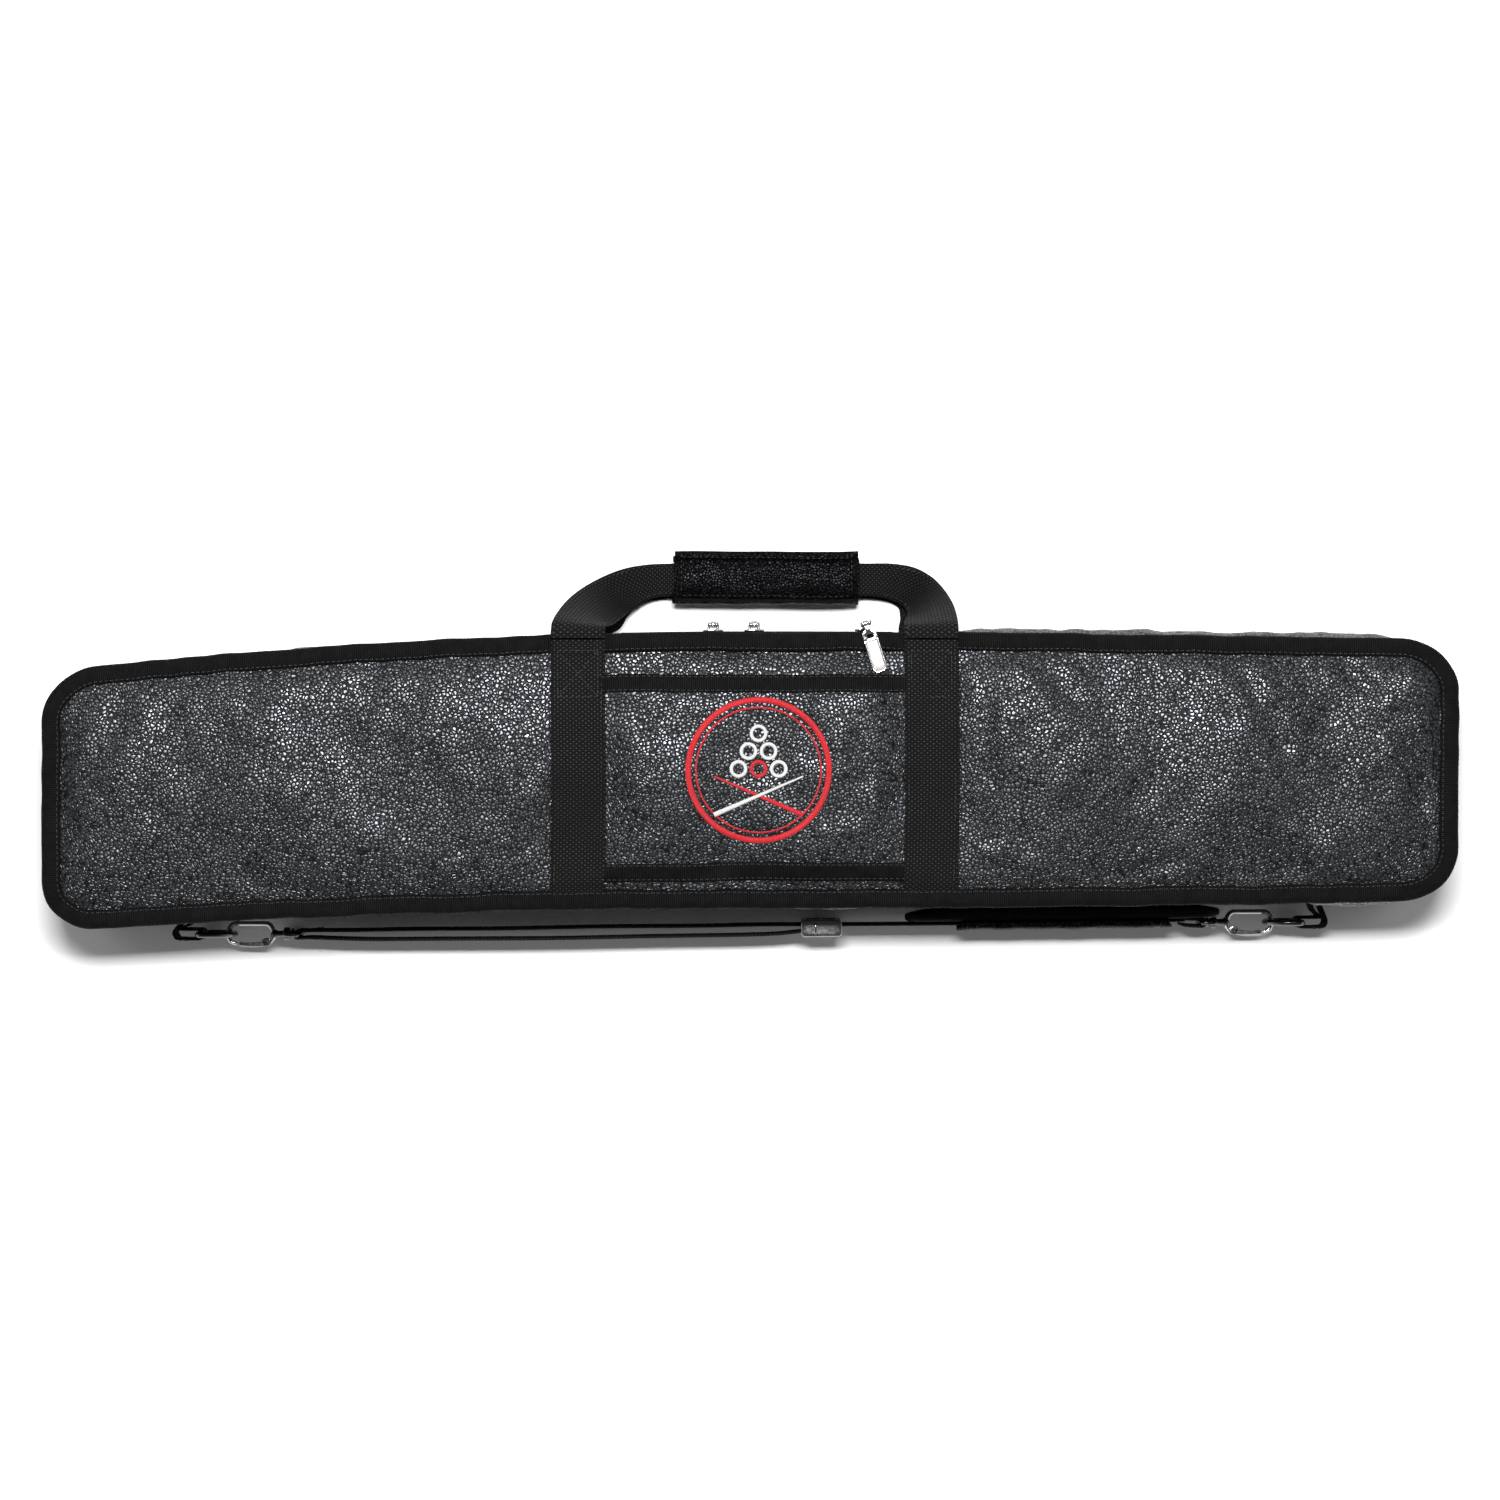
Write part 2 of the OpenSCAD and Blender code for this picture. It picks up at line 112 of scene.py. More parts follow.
def resample(p, n, closed):
    """n points evenly spaced along the polyline p."""
    q = np.vstack([p, p[:1]]) if closed else p
    s = np.concatenate([[0], np.cumsum(np.linalg.norm(np.diff(q, axis=0), axis=1))])
    want = np.linspace(0, s[-1], n + 1)[:-1] if closed else np.linspace(0, s[-1], n)
    return np.stack([np.interp(want, s, q[:, k]) for k in range(q.shape[1])], 1), s[-1]


def spline(points, n):
    """A smooth curve through the points (Catmull-Rom), as n points."""
    p = np.asarray(points, float)
    p = np.vstack([2 * p[0] - p[1], p, 2 * p[-1] - p[-2]])
    spans = len(p) - 3
    t = np.linspace(0, spans - 1e-9, n)
    i = t.astype(int)
    f = (t - i)[:, None]
    a, b, c, d = p[i], p[i + 1], p[i + 2], p[i + 3]
    return 0.5 * (2 * b + (c - a) * f + (2 * a - 5 * b + 4 * c - d) * f**2 + (3 * b - a - 3 * c + d) * f**3)


def base_outline(n):
    """The outline as n even points, from the middle of the lower side, anticlockwise, with inward normals."""
    ex, wy, r = HALF_LEN - CORNER_R, HALF_W, CORNER_R
    pts = [(x, -wy) for x in np.linspace(0, ex, 60)]
    for cx, cy, a0 in ((ex, -wy + r, -90), (ex, wy - r, 0), (-ex, wy - r, 90), (-ex, -wy + r, 180)):
        pts += [(cx + r * math.cos(math.radians(a0 + k)), cy + r * math.sin(math.radians(a0 + k)))
                for k in range(3, 91, 3)]
        if a0 == 0:
            pts += [(x, wy) for x in np.linspace(ex, -ex, 120)[1:]]
    pts += [(x, -wy) for x in np.linspace(-ex, 0, 60)[1:-1]]
    p = np.array(pts)
    p[:, 1] = warp(p[:, 0], p[:, 1])
    p, total = resample(p, n, True)
    t = np.roll(p, -1, 0) - np.roll(p, 1, 0)
    t /= np.linalg.norm(t, axis=1)[:, None]
    return p, np.stack([-t[:, 1], t[:, 0]], 1), total


# ---------------------------------------------------------------- meshes
class Piece:
    """Collects grids of points into one mesh with a UV in metres."""

    def __init__(self):
        self.v, self.f, self.uv, self.count = [], [], [], 0

    def grid(self, p, cu=False, cv=False, us=None, vs=None, flip=False):
        n, m = p.shape[:2]
        iu = np.arange(n if cu else n - 1)
        iv = np.arange(m if cv else m - 1)
        if us is None:
            us = np.concatenate([[0], np.cumsum(np.linalg.norm(np.diff(p.mean(1), axis=0), axis=1))])
        if vs is None:
            vs = np.concatenate([[0], np.cumsum(np.linalg.norm(np.diff(p[n // 2], axis=0), axis=1))])
        us, vs = np.asarray(us, float), np.asarray(vs, float)
        if cu and len(us) == n:
            us = np.append(us, us[-1] + np.linalg.norm(p[0].mean(0) - p[-1].mean(0)))
        if cv and len(vs) == m:
            vs = np.append(vs, vs[-1] + np.linalg.norm(p[n // 2][0] - p[n // 2][-1]))
        i, j = np.meshgrid(iu, iv, indexing="ij")
        i, j = i.ravel(), j.ravel()
        i2, j2 = (i + 1) % n, (j + 1) % m
        quad = np.stack([i * m + j, i2 * m + j, i2 * m + j2, i * m + j2], 1) + self.count
        uv = np.stack([np.stack([us[i], vs[j]], 1), np.stack([us[i + 1], vs[j]], 1),
                       np.stack([us[i + 1], vs[j + 1]], 1), np.stack([us[i], vs[j + 1]], 1)], 1)
        if flip:
            quad, uv = quad[:, ::-1], uv[:, ::-1]
        self.v.append(p.reshape(-1, 3))
        self.f += quad.tolist()
        self.uv.append(uv.reshape(-1, 2))
        self.count += n * m
        return self

    def cap(self, ring, flip=False):
        """Closes a ring of points with a fan of triangles."""
        n = len(ring)
        c = ring.mean(0)
        self.v.append(np.vstack([ring, c[None]]))
        k = np.arange(n)
        tri = np.stack([k, (k + 1) % n, np.full(n, n)], 1) + self.count
        if flip:
            tri = tri[:, ::-1]
        self.f += tri.tolist()
        self.uv.append(np.zeros((3 * n, 2)))
        self.count += n + 1
        return self

    def build(self, name, material, body, slot, replaces=(), shade=True, weld=True):
        me = bpy.data.meshes.new(name)
        me.from_pydata(np.vstack(self.v).tolist(), [], self.f)
        layer = me.uv_layers.new(name="UVMap")
        layer.data.foreach_set("uv", np.vstack(self.uv).astype(np.float32).ravel())
        me.validate()
        ob = bpy.data.objects.new(name, me)
        bpy.context.collection.objects.link(ob)
        ob.data.materials.append(material)
        if shade:
            me.shade_smooth()
        if body:
            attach(ob, body)
        if replaces:
            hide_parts(*replaces)
        return ob


def strip_grid(piece, centre, half, thick, across=10, lift=None):
    """A flat web: centre points, half-width vectors, thickness. Its section is a thin rounded bar."""
    c, h = np.asarray(centre, float), np.asarray(half, float)
    t = np.gradient(c, axis=0)
    nrm = np.cross(t, h)
    nrm /= np.linalg.norm(nrm, axis=1)[:, None]
    a = np.linspace(-1, 1, across)
    w2 = 2 * np.linalg.norm(h, axis=1).mean()
    top = [(s, 0.5) for s in a]
    top[0], top[-1] = (-1, 0.15), (1, 0.15)
    sec = [(-1, -0.15)] + top[:1] + [(-0.965, 0.5)] + top[1:-1] + [(0.965, 0.5)] + top[-1:]
    sec += [(1, -0.15), (0.965, -0.5)] + [(s, -0.5) for s in a[::-1][1:-1]] + [(-0.965, -0.5)]
    sec = np.array(sec)
    p = c[:, None, :] + sec[None, :, 0, None] * h[:, None, :] + sec[None, :, 1, None] * thick * nrm[:, None, :]
    if lift is not None:
        p = p + lift(p)
    vs = (sec[:, 0] + 1) / 2 * w2
    s = np.concatenate([[0], np.cumsum(np.linalg.norm(np.diff(c, axis=0), axis=1))])
    piece.grid(p, cv=True, us=s, vs=np.append(vs, vs[0]), flip=True)
    piece.cap(p[0], flip=True)
    piece.cap(p[-1])
    return piece


def tube(piece, path, radius, closed=False, sides=12, flat=1.0, up=(0, 0, 1)):
    """A round wire along path. radius may be a number or one per point; flat squeezes it along up."""
    p = np.asarray(path, float)
    n = len(p)
    if closed:
        t = np.roll(p, -1, 0) - np.roll(p, 1, 0)
    else:
        t = np.gradient(p, axis=0)
    t /= np.linalg.norm(t, axis=1)[:, None]
    side = np.cross(t, up)
    ok = np.linalg.norm(side, axis=1) > 0.05
    if not ok.all():
        side[~ok] = np.cross(t[~ok], (0.3, 1, 0))
    side /= np.linalg.norm(side, axis=1)[:, None]
    v = np.cross(side, t)
    r = np.broadcast_to(np.asarray(radius, float), (n,))
    a = np.arange(sides) * math.tau / sides
    ring = (side[:, None, :] * np.cos(a)[None, :, None]
            + v[:, None, :] * np.sin(a)[None, :, None] * flat) * r[:, None, None]
    q = p[:, None, :] + ring
    piece.grid(q, cu=closed, cv=True)
    if not closed:
        piece.cap(q[0])
        piece.cap(q[-1], flip=True)
    return piece


def ball(piece, centre, radii, rings=8, sides=14):
    c, r = np.asarray(centre, float), np.broadcast_to(np.asarray(radii, float), (3,))
    th = np.linspace(0.02, math.pi - 0.02, rings)
    a = np.arange(sides) * math.tau / sides
    p = np.stack([np.sin(th)[:, None] * np.cos(a), np.sin(th)[:, None] * np.sin(a),
                  np.repeat(np.cos(th)[:, None], sides, 1)], 2) * r + c
    piece.grid(p, cv=True, flip=True)
    piece.cap(p[0])
    piece.cap(p[-1], flip=True)
    return piece


def plate(piece, outer, z0, z1, bevel, inner=None, place=None):
    """A flat plate with bevelled edges from a closed outline (n x 2), with an optional hole of as many points."""
    o = np.asarray(outer, float)

    def inset(q, d):
        t = np.roll(q, -1, 0) - np.roll(q, 1, 0)
        t /= np.maximum(np.linalg.norm(t, axis=1), 1e-12)[:, None]
        return q + np.stack([-t[:, 1], t[:, 0]], 1) * d

    def level(q, z):
        return np.column_stack([q, np.full(len(q), z)])

    rings = []
    if inner is not None:
        i = np.asarray(inner, float)
        rings += [level(i, z0 + bevel), level(inset(i, -bevel), z0)]
    else:
        c = o.mean(0)
        rings += [level(c + (o - c) * 0.02, z0), level(c + (o - c) * 0.6, z0)]
    rings += [level(inset(o, bevel), z0), level(inset(o, bevel * 0.3), z0 + bevel * 0.3), level(o, z0 + bevel),
              level(o, z1 - bevel), level(inset(o, bevel * 0.3), z1 - bevel * 0.3), level(inset(o, bevel), z1)]
    if inner is not None:
        rings += [level(inset(i, -bevel), z1), level(i, z1 - bevel)]
    else:
        rings += [level(c + (o - c) * 0.6, z1), level(c + (o - c) * 0.02, z1)]
    p = np.array(rings)
    if place is not None:
        p = place(p)
    piece.grid(p, cu=inner is not None, cv=True)
    if inner is None:
        piece.cap(p[0])
        piece.cap(p[-1], flip=True)
    return piece


def rounded(w, h, r, n=6, cx=0.0, cy=0.0):
    """A rounded rectangle's outline, anticlockwise."""
    pts = []
    for sx, sy, a0 in ((1, -1, -90), (1, 1, 0), (-1, 1, 90), (-1, -1, 180)):
        for k in range(n + 1):
            a = math.radians(a0 + 90 * k / n)
            pts.append((cx + sx * (w / 2 - r) + r * math.cos(a), cy + sy * (h / 2 - r) + r * math.sin(a)))
    return np.array(pts)


def stitches(path, normal, name, body, material, slot, pitch=0.0034, length=0.0024, radius=0.00026, sink=0.0):
    """A row of sewn stitches lying on a surface: small rounded threads along path."""
    p = np.asarray(path, float)
    nrm = np.broadcast_to(np.asarray(normal, float), p.shape)
    s = np.concatenate([[0], np.cumsum(np.linalg.norm(np.diff(p, axis=0), axis=1))])
    count = max(1, int(s[-1] / pitch))
    start = (np.arange(count) + 0.15) * pitch
    out = Piece()
    a = np.arange(6) * math.tau / 6
    t5 = np.linspace(0, 1, 5)
    rr = np.array([0.35, 0.95, 1.0, 0.95, 0.35]) * radius
    dip = np.array([-1.2, 0.1, 0.5, 0.1, -1.2]) * radius
    sample = lambda q, w: np.stack([np.interp(w, s, q[:, k]) for k in range(3)], -1)
    where = start[:, None] + t5[None, :] * length
    c = sample(p, where)
    n3 = sample(nrm, where)
    tang = c[:, -1:, :] - c[:, :1, :]
    tang /= np.maximum(np.linalg.norm(tang, axis=2), 1e-9)[..., None]
    side = np.cross(tang, n3)
    c = c + n3 * (dip[None, :, None] - sink)
    ring = (side[:, :, None, :] * np.cos(a)[None, None, :, None]
            + n3[:, :, None, :] * np.sin(a)[None, None, :, None] * 0.7) * rr[None, :, None, None]
    q = c[:, :, None, :] + ring
    for k in range(count):
        out.grid(q[k], cv=True, us=where[k], vs=np.arange(7) * radius)
    return out.build(name, material, body, slot)


# ---------------------------------------------------------------- materials
class Mat:
    """A Principled material with short helpers for its nodes."""

    def __init__(self, name, color=(0.02, 0.02, 0.02), rough=0.5, metal=0.0, **more):
        self.m = bpy.data.materials.new(name)
        self.m.use_nodes = True
        self.t = self.m.node_tree
        self.b = self.t.nodes["Principled BSDF"]
        self.b.inputs["Base Color"].default_value = (*color, 1)
        self.b.inputs["Roughness"].default_value = rough
        self.b.inputs["Metallic"].default_value = metal
        for k, v in more.items():
            self.b.inputs[k.replace("_", " ")].default_value = v

    def node(self, kind, inputs=(), **attrs):
        n = self.t.nodes.new("ShaderNode" + kind)
        for k, v in attrs.items():
            setattr(n, k, v)
        for k, v in dict(inputs).items():
            if isinstance(v, bpy.types.NodeSocket):
                self.t.links.new(v, n.inputs[k])
            else:
                n.inputs[k].default_value = v
        return n

    def math(self, op, a, b=0.0, c=0.0, clamp=False):
        n = self.t.nodes.new("ShaderNodeMath")
        n.operation = op
        n.use_clamp = clamp
        for k, v in enumerate((a, b, c)):
            if isinstance(v, bpy.types.NodeSocket):
                self.t.links.new(v, n.inputs[k])
            else:
                n.inputs[k].default_value = v
        return n.outputs[0]

    def coords(self):
        return self.node("TexCoord").outputs["Object"]

    def uv(self):
        s = self.node("SeparateXYZ", {0: self.node("TexCoord").outputs["UV"]})
        return s.outputs[0], s.outputs[1]

    def noise(self, scale, detail=2.0, rough=0.5, vector=None, out=0):
        v = vector if vector is not None else self.coords()
        return self.node("TexNoise", {"Vector": v, "Scale": scale, "Detail": detail,
                                      "Roughness": rough}).outputs[out]

    def voronoi(self, scale, feature="F1", vector=None, smoothness=None):
        v = vector if vector is not None else self.coords()
        n = self.node("TexVoronoi", {"Vector": v, "Scale": scale}, feature=feature)
        if smoothness is not None:
            n.inputs["Smoothness"].default_value = smoothness
        return n.outputs["Distance"]

    def span(self, value, a, b, lo, hi):
        n = self.node("MapRange", {"Value": value, "From Min": a, "From Max": b, "To Min": lo, "To Max": hi})
        n.clamp = True
        return n.outputs[0]

    def ramp(self, value, stops):
        n = self.node("ValToRGB", {"Fac": value})
        e = n.color_ramp.elements
        while len(e) < len(stops):
            e.new(0.5)
        for k, (at, c) in enumerate(stops):
            e[k].position = at
            e[k].color = (*c, 1)
        return n.outputs[0]

    def bump(self, height, depth, strength=1.0, under=None):
        n = self.node("Bump", {"Height": height, "Distance": depth, "Strength": strength})
        if under is not None:
            self.t.links.new(under, n.inputs["Normal"])
        return n.outputs[0]

    def set(self, socket, value):
        self.t.links.new(value, self.b.inputs[socket])


def leather_material(name, cell=0.0021, depth=0.00036, tint=(0.0042, 0.0044, 0.005), rough=(0.29, 0.5), gloss=1.0):
    m = Mat(name, tint, 0.45, Specular_IOR_Level=0.6, Specular_Tint=(0.9, 0.94, 1.0, 1))
    c = m.coords()
    shift = m.node("TexNoise", {"Vector": c, "Scale": 0.45 / cell, "Detail": 1.0}).outputs["Color"]
    off = m.node("VectorMath", {0: shift, 1: (0.5, 0.5, 0.5)}, operation="SUBTRACT").outputs[0]
    off = m.node("VectorMath", {0: off, "Scale": cell * 0.8}, operation="SCALE").outputs[0]
    v = m.node("VectorMath", {0: c, 1: off}, operation="ADD").outputs[0]
    big = m.voronoi(1 / cell, "SMOOTH_F1", v, 0.25)
    edge = m.voronoi(1 / cell, "DISTANCE_TO_EDGE", v)
    rim = m.node("MapRange", {"Value": edge, "From Min": 0.0, "From Max": 0.26}, interpolation_type="SMOOTHSTEP")
    pebble = m.math("ADD", m.math("MULTIPLY", rim.outputs[0], 0.62), m.span(big, 0.0, 0.8, 0.38, 0.0))
    fine = m.math("MULTIPLY", m.noise(1.3 / cell, 2.0), 0.3)
    fold = m.span(m.noise(45.0, 2.0, 0.5), 0.3, 0.7, 0.0, 1.2)
    height = m.math("ADD", m.math("ADD", pebble, fine), fold)
    m.set("Normal", m.bump(height, depth))
    mottling = m.noise(38.0, 3.0, 0.6)
    m.set("Specular IOR Level", m.span(pebble, 0.1, 0.7, 0.1 * gloss, gloss))
    m.set("Roughness", m.math("ADD", m.span(pebble, 0.0, 1.0, rough[1], rough[0]),
                              m.span(mottling, 0.3, 0.7, -0.04, 0.06)))
    # Base colour: painted shade in the pebble valleys, down to 0.45 of the tint, and painted highlight on the pebble
    # tops, up to 1.7 of it, varied by random mottling.
    pebble_shade_and_mottle = m.math("MULTIPLY", pebble, m.span(mottling, 0.35, 0.75, 0.6, 1.0))
    valley_shade_tint = tuple(0.45 * k for k in tint)
    m.set("Base Color", m.ramp(pebble_shade_and_mottle, [(0.0, valley_shade_tint), (0.55, tint), (1.0, tuple(1.7 * k for k in tint))]))
    return m.m


def ribbed_material(name, pitch=0.0011, tint=(0.0022, 0.0022, 0.0024)):
    """Grosgrain: round ribs across the tape, u along it."""
    m = Mat(name, tint, 0.62, Specular_IOR_Level=0.07)
    u, v = m.uv()
    jitter = m.math("MULTIPLY", m.math("SUBTRACT", m.noise(260.0, 2.0), 0.5), 0.9)
    ph = m.math("ADD", m.math("MULTIPLY", u, math.tau / pitch), jitter)
    rib = m.math("ABSOLUTE", m.math("SINE", m.math("MULTIPLY", ph, 0.5)))
    cross = m.math("MULTIPLY", m.math("ABSOLUTE", m.math("SINE", m.math("MULTIPLY", v, math.pi / 0.0005))), 0.2)
    fibre = m.math("MULTIPLY", m.noise(3800.0, 2.0), 0.25)
    m.set("Normal", m.bump(m.math("ADD", m.math("ADD", rib, cross), fibre), 0.00026))
    shade = m.math("MULTIPLY", rib, m.span(m.noise(150.0, 2.0), 0.3, 0.7, 0.65, 1.0))
    m.set("Base Color", m.ramp(shade, [(0.0, (0.0012, 0.0012, 0.0012)), (0.6, tint), (1.0, (0.0075, 0.0075, 0.008))]))
    m.set("Roughness", m.span(rib, 0.0, 1.0, 0.8, 0.5))
    return m.m


def webbing_material(name, tint=(0.002, 0.002, 0.0022), pu=0.00135, pv=0.0018):
    """Plain woven webbing: u along the web, v across it. Warp floats stand up as rows of small lozenges."""
    m = Mat(name, tint, 0.6, Specular_IOR_Level=0.14)
    u, v = m.uv()
    wob = m.math("MULTIPLY", m.math("SUBTRACT", m.noise(300.0, 1.0), 0.5), 0.8)
    a = m.math("SINE", m.math("ADD", m.math("MULTIPLY", u, math.pi / pu), wob))
    b = m.math("SINE", m.math("ADD", m.math("MULTIPLY", v, math.pi / pv), wob))
    prod = m.math("MULTIPLY", a, b)
    over = m.span(prod, 0.0, 0.75, 0.0, 1.0)
    under = m.math("MULTIPLY", m.span(prod, -0.75, 0.0, 1.0, 0.0), 0.4)
    fibre = m.math("MULTIPLY", m.noise(5200.0, 2.0), 0.18)
    height = m.math("ADD", m.math("ADD", over, under), fibre)
    m.set("Normal", m.bump(height, 0.00042))
    # Base colour follows the weave's height: painted highlight on the raised floats, painted shade in the gaps between
    # them.
    m.set("Base Color", m.ramp(m.math("MULTIPLY", height, 0.8),
                               [(0.0, (0.001, 0.001, 0.001)), (0.45, tint), (1.0, (0.024, 0.024, 0.025))]))
    m.set("Roughness", m.span(over, 0.0, 1.0, 0.8, 0.46))
    return m.m


def zip_tape_material():
    m = Mat("zip_tape", (0.01, 0.01, 0.0105), 0.75, Sheen_Weight=0.1)
    u, v = m.uv()
    zig = m.math("PINGPONG", v, 0.0011)
    ph = m.math("MULTIPLY", m.math("ADD", u, m.math("MULTIPLY", zig, 0.7)), math.tau / 0.0007)
    row = m.math("SINE", ph)
    m.set("Normal", m.bump(row, 0.00012))
    # Base colour follows the knitted rows: painted highlight on the ridges, painted shade in the grooves.
    m.set("Base Color", m.ramp(m.span(row, -1, 1, 0, 1), [(0.0, (0.005, 0.005, 0.005)), (1.0, (0.018, 0.018, 0.019))]))
    return m.m


def metal_material(name, tint, rough, grain=0.05, scratch=0.00002):
    m = Mat(name, tint, rough, 1.0)
    n = m.noise(420.0, 4.0, 0.6)
    m.set("Roughness", m.span(n, 0.3, 0.75, max(0.04, rough - grain), rough + grain))
    fine = m.node("Mapping", {"Vector": m.coords(), "Scale": (900.0, 120.0, 900.0)}).outputs[0]
    m.set("Normal", m.bump(m.node("TexNoise", {"Vector": fine, "Scale": 1.0, "Detail": 2.0}).outputs[0], scratch))
    spots = m.noise(60.0, 3.0, 0.6)
    m.set("Base Color", m.ramp(spots, [(0.35, tuple(0.82 * k for k in tint)), (0.6, tint)]))
    return m.m


def frosted_material():
    m = Mat("frosted_nickel", (0.36, 0.35, 0.34), 0.5, 1.0)
    grain = m.noise(5200.0, 3.0, 0.7)
    m.set("Normal", m.bump(grain, 0.00009))
    m.set("Roughness", m.span(grain, 0.3, 0.7, 0.42, 0.62))
    return m.m


def lining_material(name="lining", tint=(0.05, 0.05, 0.055)):
    m = Mat(name, tint, 0.95, Sheen_Weight=0.35, Sheen_Roughness=0.5)
    pile = m.noise(2600.0, 3.0, 0.7)
    nap = m.noise(22.0, 4.0, 0.6)
    m.set("Normal", m.bump(m.math("ADD", m.math("MULTIPLY", pile, 0.5), nap), 0.0006))
    m.set("Base Color", m.ramp(m.math("ADD", m.math("MULTIPLY", pile, 0.4), m.math("MULTIPLY", nap, 0.6)),
                               [(0.35, tuple(0.6 * k for k in tint)), (0.65, tuple(1.5 * k for k in tint))]))
    return m.m


def elastic_material():
    m = Mat("elastic", (0.012, 0.012, 0.013), 0.8, Sheen_Weight=0.15)
    u, v = m.uv()
    cord = m.math("ABSOLUTE", m.math("SINE", m.math("MULTIPLY", v, math.pi / 0.0014)))
    cross = m.math("MULTIPLY", m.math("SINE", m.math("MULTIPLY", u, math.tau / 0.0008)), 0.2)
    m.set("Normal", m.bump(m.math("ADD", cord, cross), 0.0003))
    # Base colour follows the cords: painted highlight on their crests, painted shade in the grooves between them.
    m.set("Base Color", m.ramp(cord, [(0.0, (0.004, 0.004, 0.004)), (1.0, (0.022, 0.022, 0.024))]))
    return m.m


def thread_material(name, tint, sheen=0.25, pitch=0.00042):
    """Satin-stitched thread: fine strands across the line, u along it."""
    m = Mat(name, tint, 0.45, Sheen_Weight=sheen, Sheen_Roughness=0.3)
    u, v = m.uv()
    wob = m.math("MULTIPLY", m.math("SUBTRACT", m.noise(900.0, 2.0), 0.5), 2.0)
    ph = m.math("ADD", m.math("MULTIPLY", u, math.tau / pitch), wob)
    strand = m.span(m.math("SINE", ph), -1.0, 1.0, 0.0, 1.0)
    m.set("Normal", m.bump(strand, 0.00016))
    # Base colour follows the strands: painted highlight on their crests and painted shade between them, with some
    # random tone from noise.
    m.set("Base Color", m.ramp(m.math("ADD", m.math("MULTIPLY", strand, 0.7), m.math("MULTIPLY", m.noise(800.0), 0.3)),
                               [(0.15, tuple(0.45 * k for k in tint)), (0.7, tint), (1.0, tuple(min(1, 1.25 * k) for k in tint))]))
    return m.m


def hook_strip_material():
    m = Mat("touch_strip", (0.012, 0.012, 0.012), 0.85)
    dots = m.voronoi(900.0, "F1")
    m.set("Normal", m.bump(dots, 0.0008))
    m.set("Base Color", m.ramp(dots, [(0.1, (0.03, 0.03, 0.03)), (0.6, (0.006, 0.006, 0.006))]))
    return m.m


LEATHER = leather_material("leather")
LEATHER_FINE = leather_material("leather_trim", 0.0016, 0.0003, (0.0010, 0.0010, 0.0011), (0.3, 0.5), 0.1)
RIBBED = ribbed_material("ribbed_tape")
WEBBING = webbing_material("webbing")
STRAP_WEB = webbing_material("strap_webbing", (0.005, 0.005, 0.0052), 0.0011, 0.0014)
ZIP_TAPE = zip_tape_material()
TEETH = metal_material("zip_teeth", (0.02, 0.02, 0.021), 0.42)
bpy.data.materials["zip_teeth"].node_tree.nodes["Principled BSDF"].inputs["Metallic"].default_value = 0.0
NICKEL = metal_material("nickel", (0.62, 0.615, 0.6), 0.2)
FROSTED = frosted_material()
GUNMETAL = metal_material("gunmetal", (0.11, 0.11, 0.115), 0.2)
LINING = lining_material()
PANEL_LINING = lining_material("lid_lining", (0.035, 0.035, 0.04))
ELASTIC = elastic_material()
THREAD = thread_material("black_thread", (0.02, 0.02, 0.021), 0.2)
RED_THREAD = thread_material("red_thread", (0.62, 0.012, 0.02))
WHITE_THREAD = thread_material("white_thread", (0.78, 0.78, 0.77))
TOUCH = hook_strip_material()

# ---------------------------------------------------------------- panel shapes
# Creases in the front panel: two ends (x, y), half width and depth, in millimetres.
CREASES = [
    (281, 72, 312, 14, 6, 1.5), (340, 68, 366, 46, 5, 1.2), (139, 62, 142, -40, 5, 1.1), (163, 70, 190, 40, 6, 0.8),
    (205, -70, 250, -52, 6, 0.9), (290, -30, 330, -62, 7, 0.9), (230, 66, 236, 38, 5, 0.7), (385, 30, 392, -20, 7, 0.8),
    (-128, 50, -134, -46, 6, 0.6), (-180, 62, -205, 36, 7, 0.6), (-260, -78, -300, -60, 7, 0.8), (-370, 30, -386, -8, 7, 0.8),
    (-330, 48, -350, 20, 6, 0.6), (-160, -60, -190, -72, 5, 0.6), (120 + 20, -55, 175, -66, 5, 0.7),
]


def seg_distance(x, y, x0, y0, x1, y1):
    dx, dy = x1 - x0, y1 - y0
    t = np.clip(((x - x0) * dx + (y - y0) * dy) / (dx * dx + dy * dy), 0, 1)
    return np.hypot(x - x0 - t * dx, y - y0 - t * dy)


def edge_distance(x, y):
    """How far a point lies inside the panel's bound edge."""
    u = unwarp(x, y)
    r = CORNER_R - BIND_W
    qx = np.abs(x) - (HALF_LEN - BIND_W - r)
    qy = np.abs(u) - (HALF_W - BIND_W - r)
    outside = np.hypot(np.maximum(qx, 0), np.maximum(qy, 0)) + np.minimum(np.maximum(qx, qy), 0)
    return np.maximum(r - outside, 0)


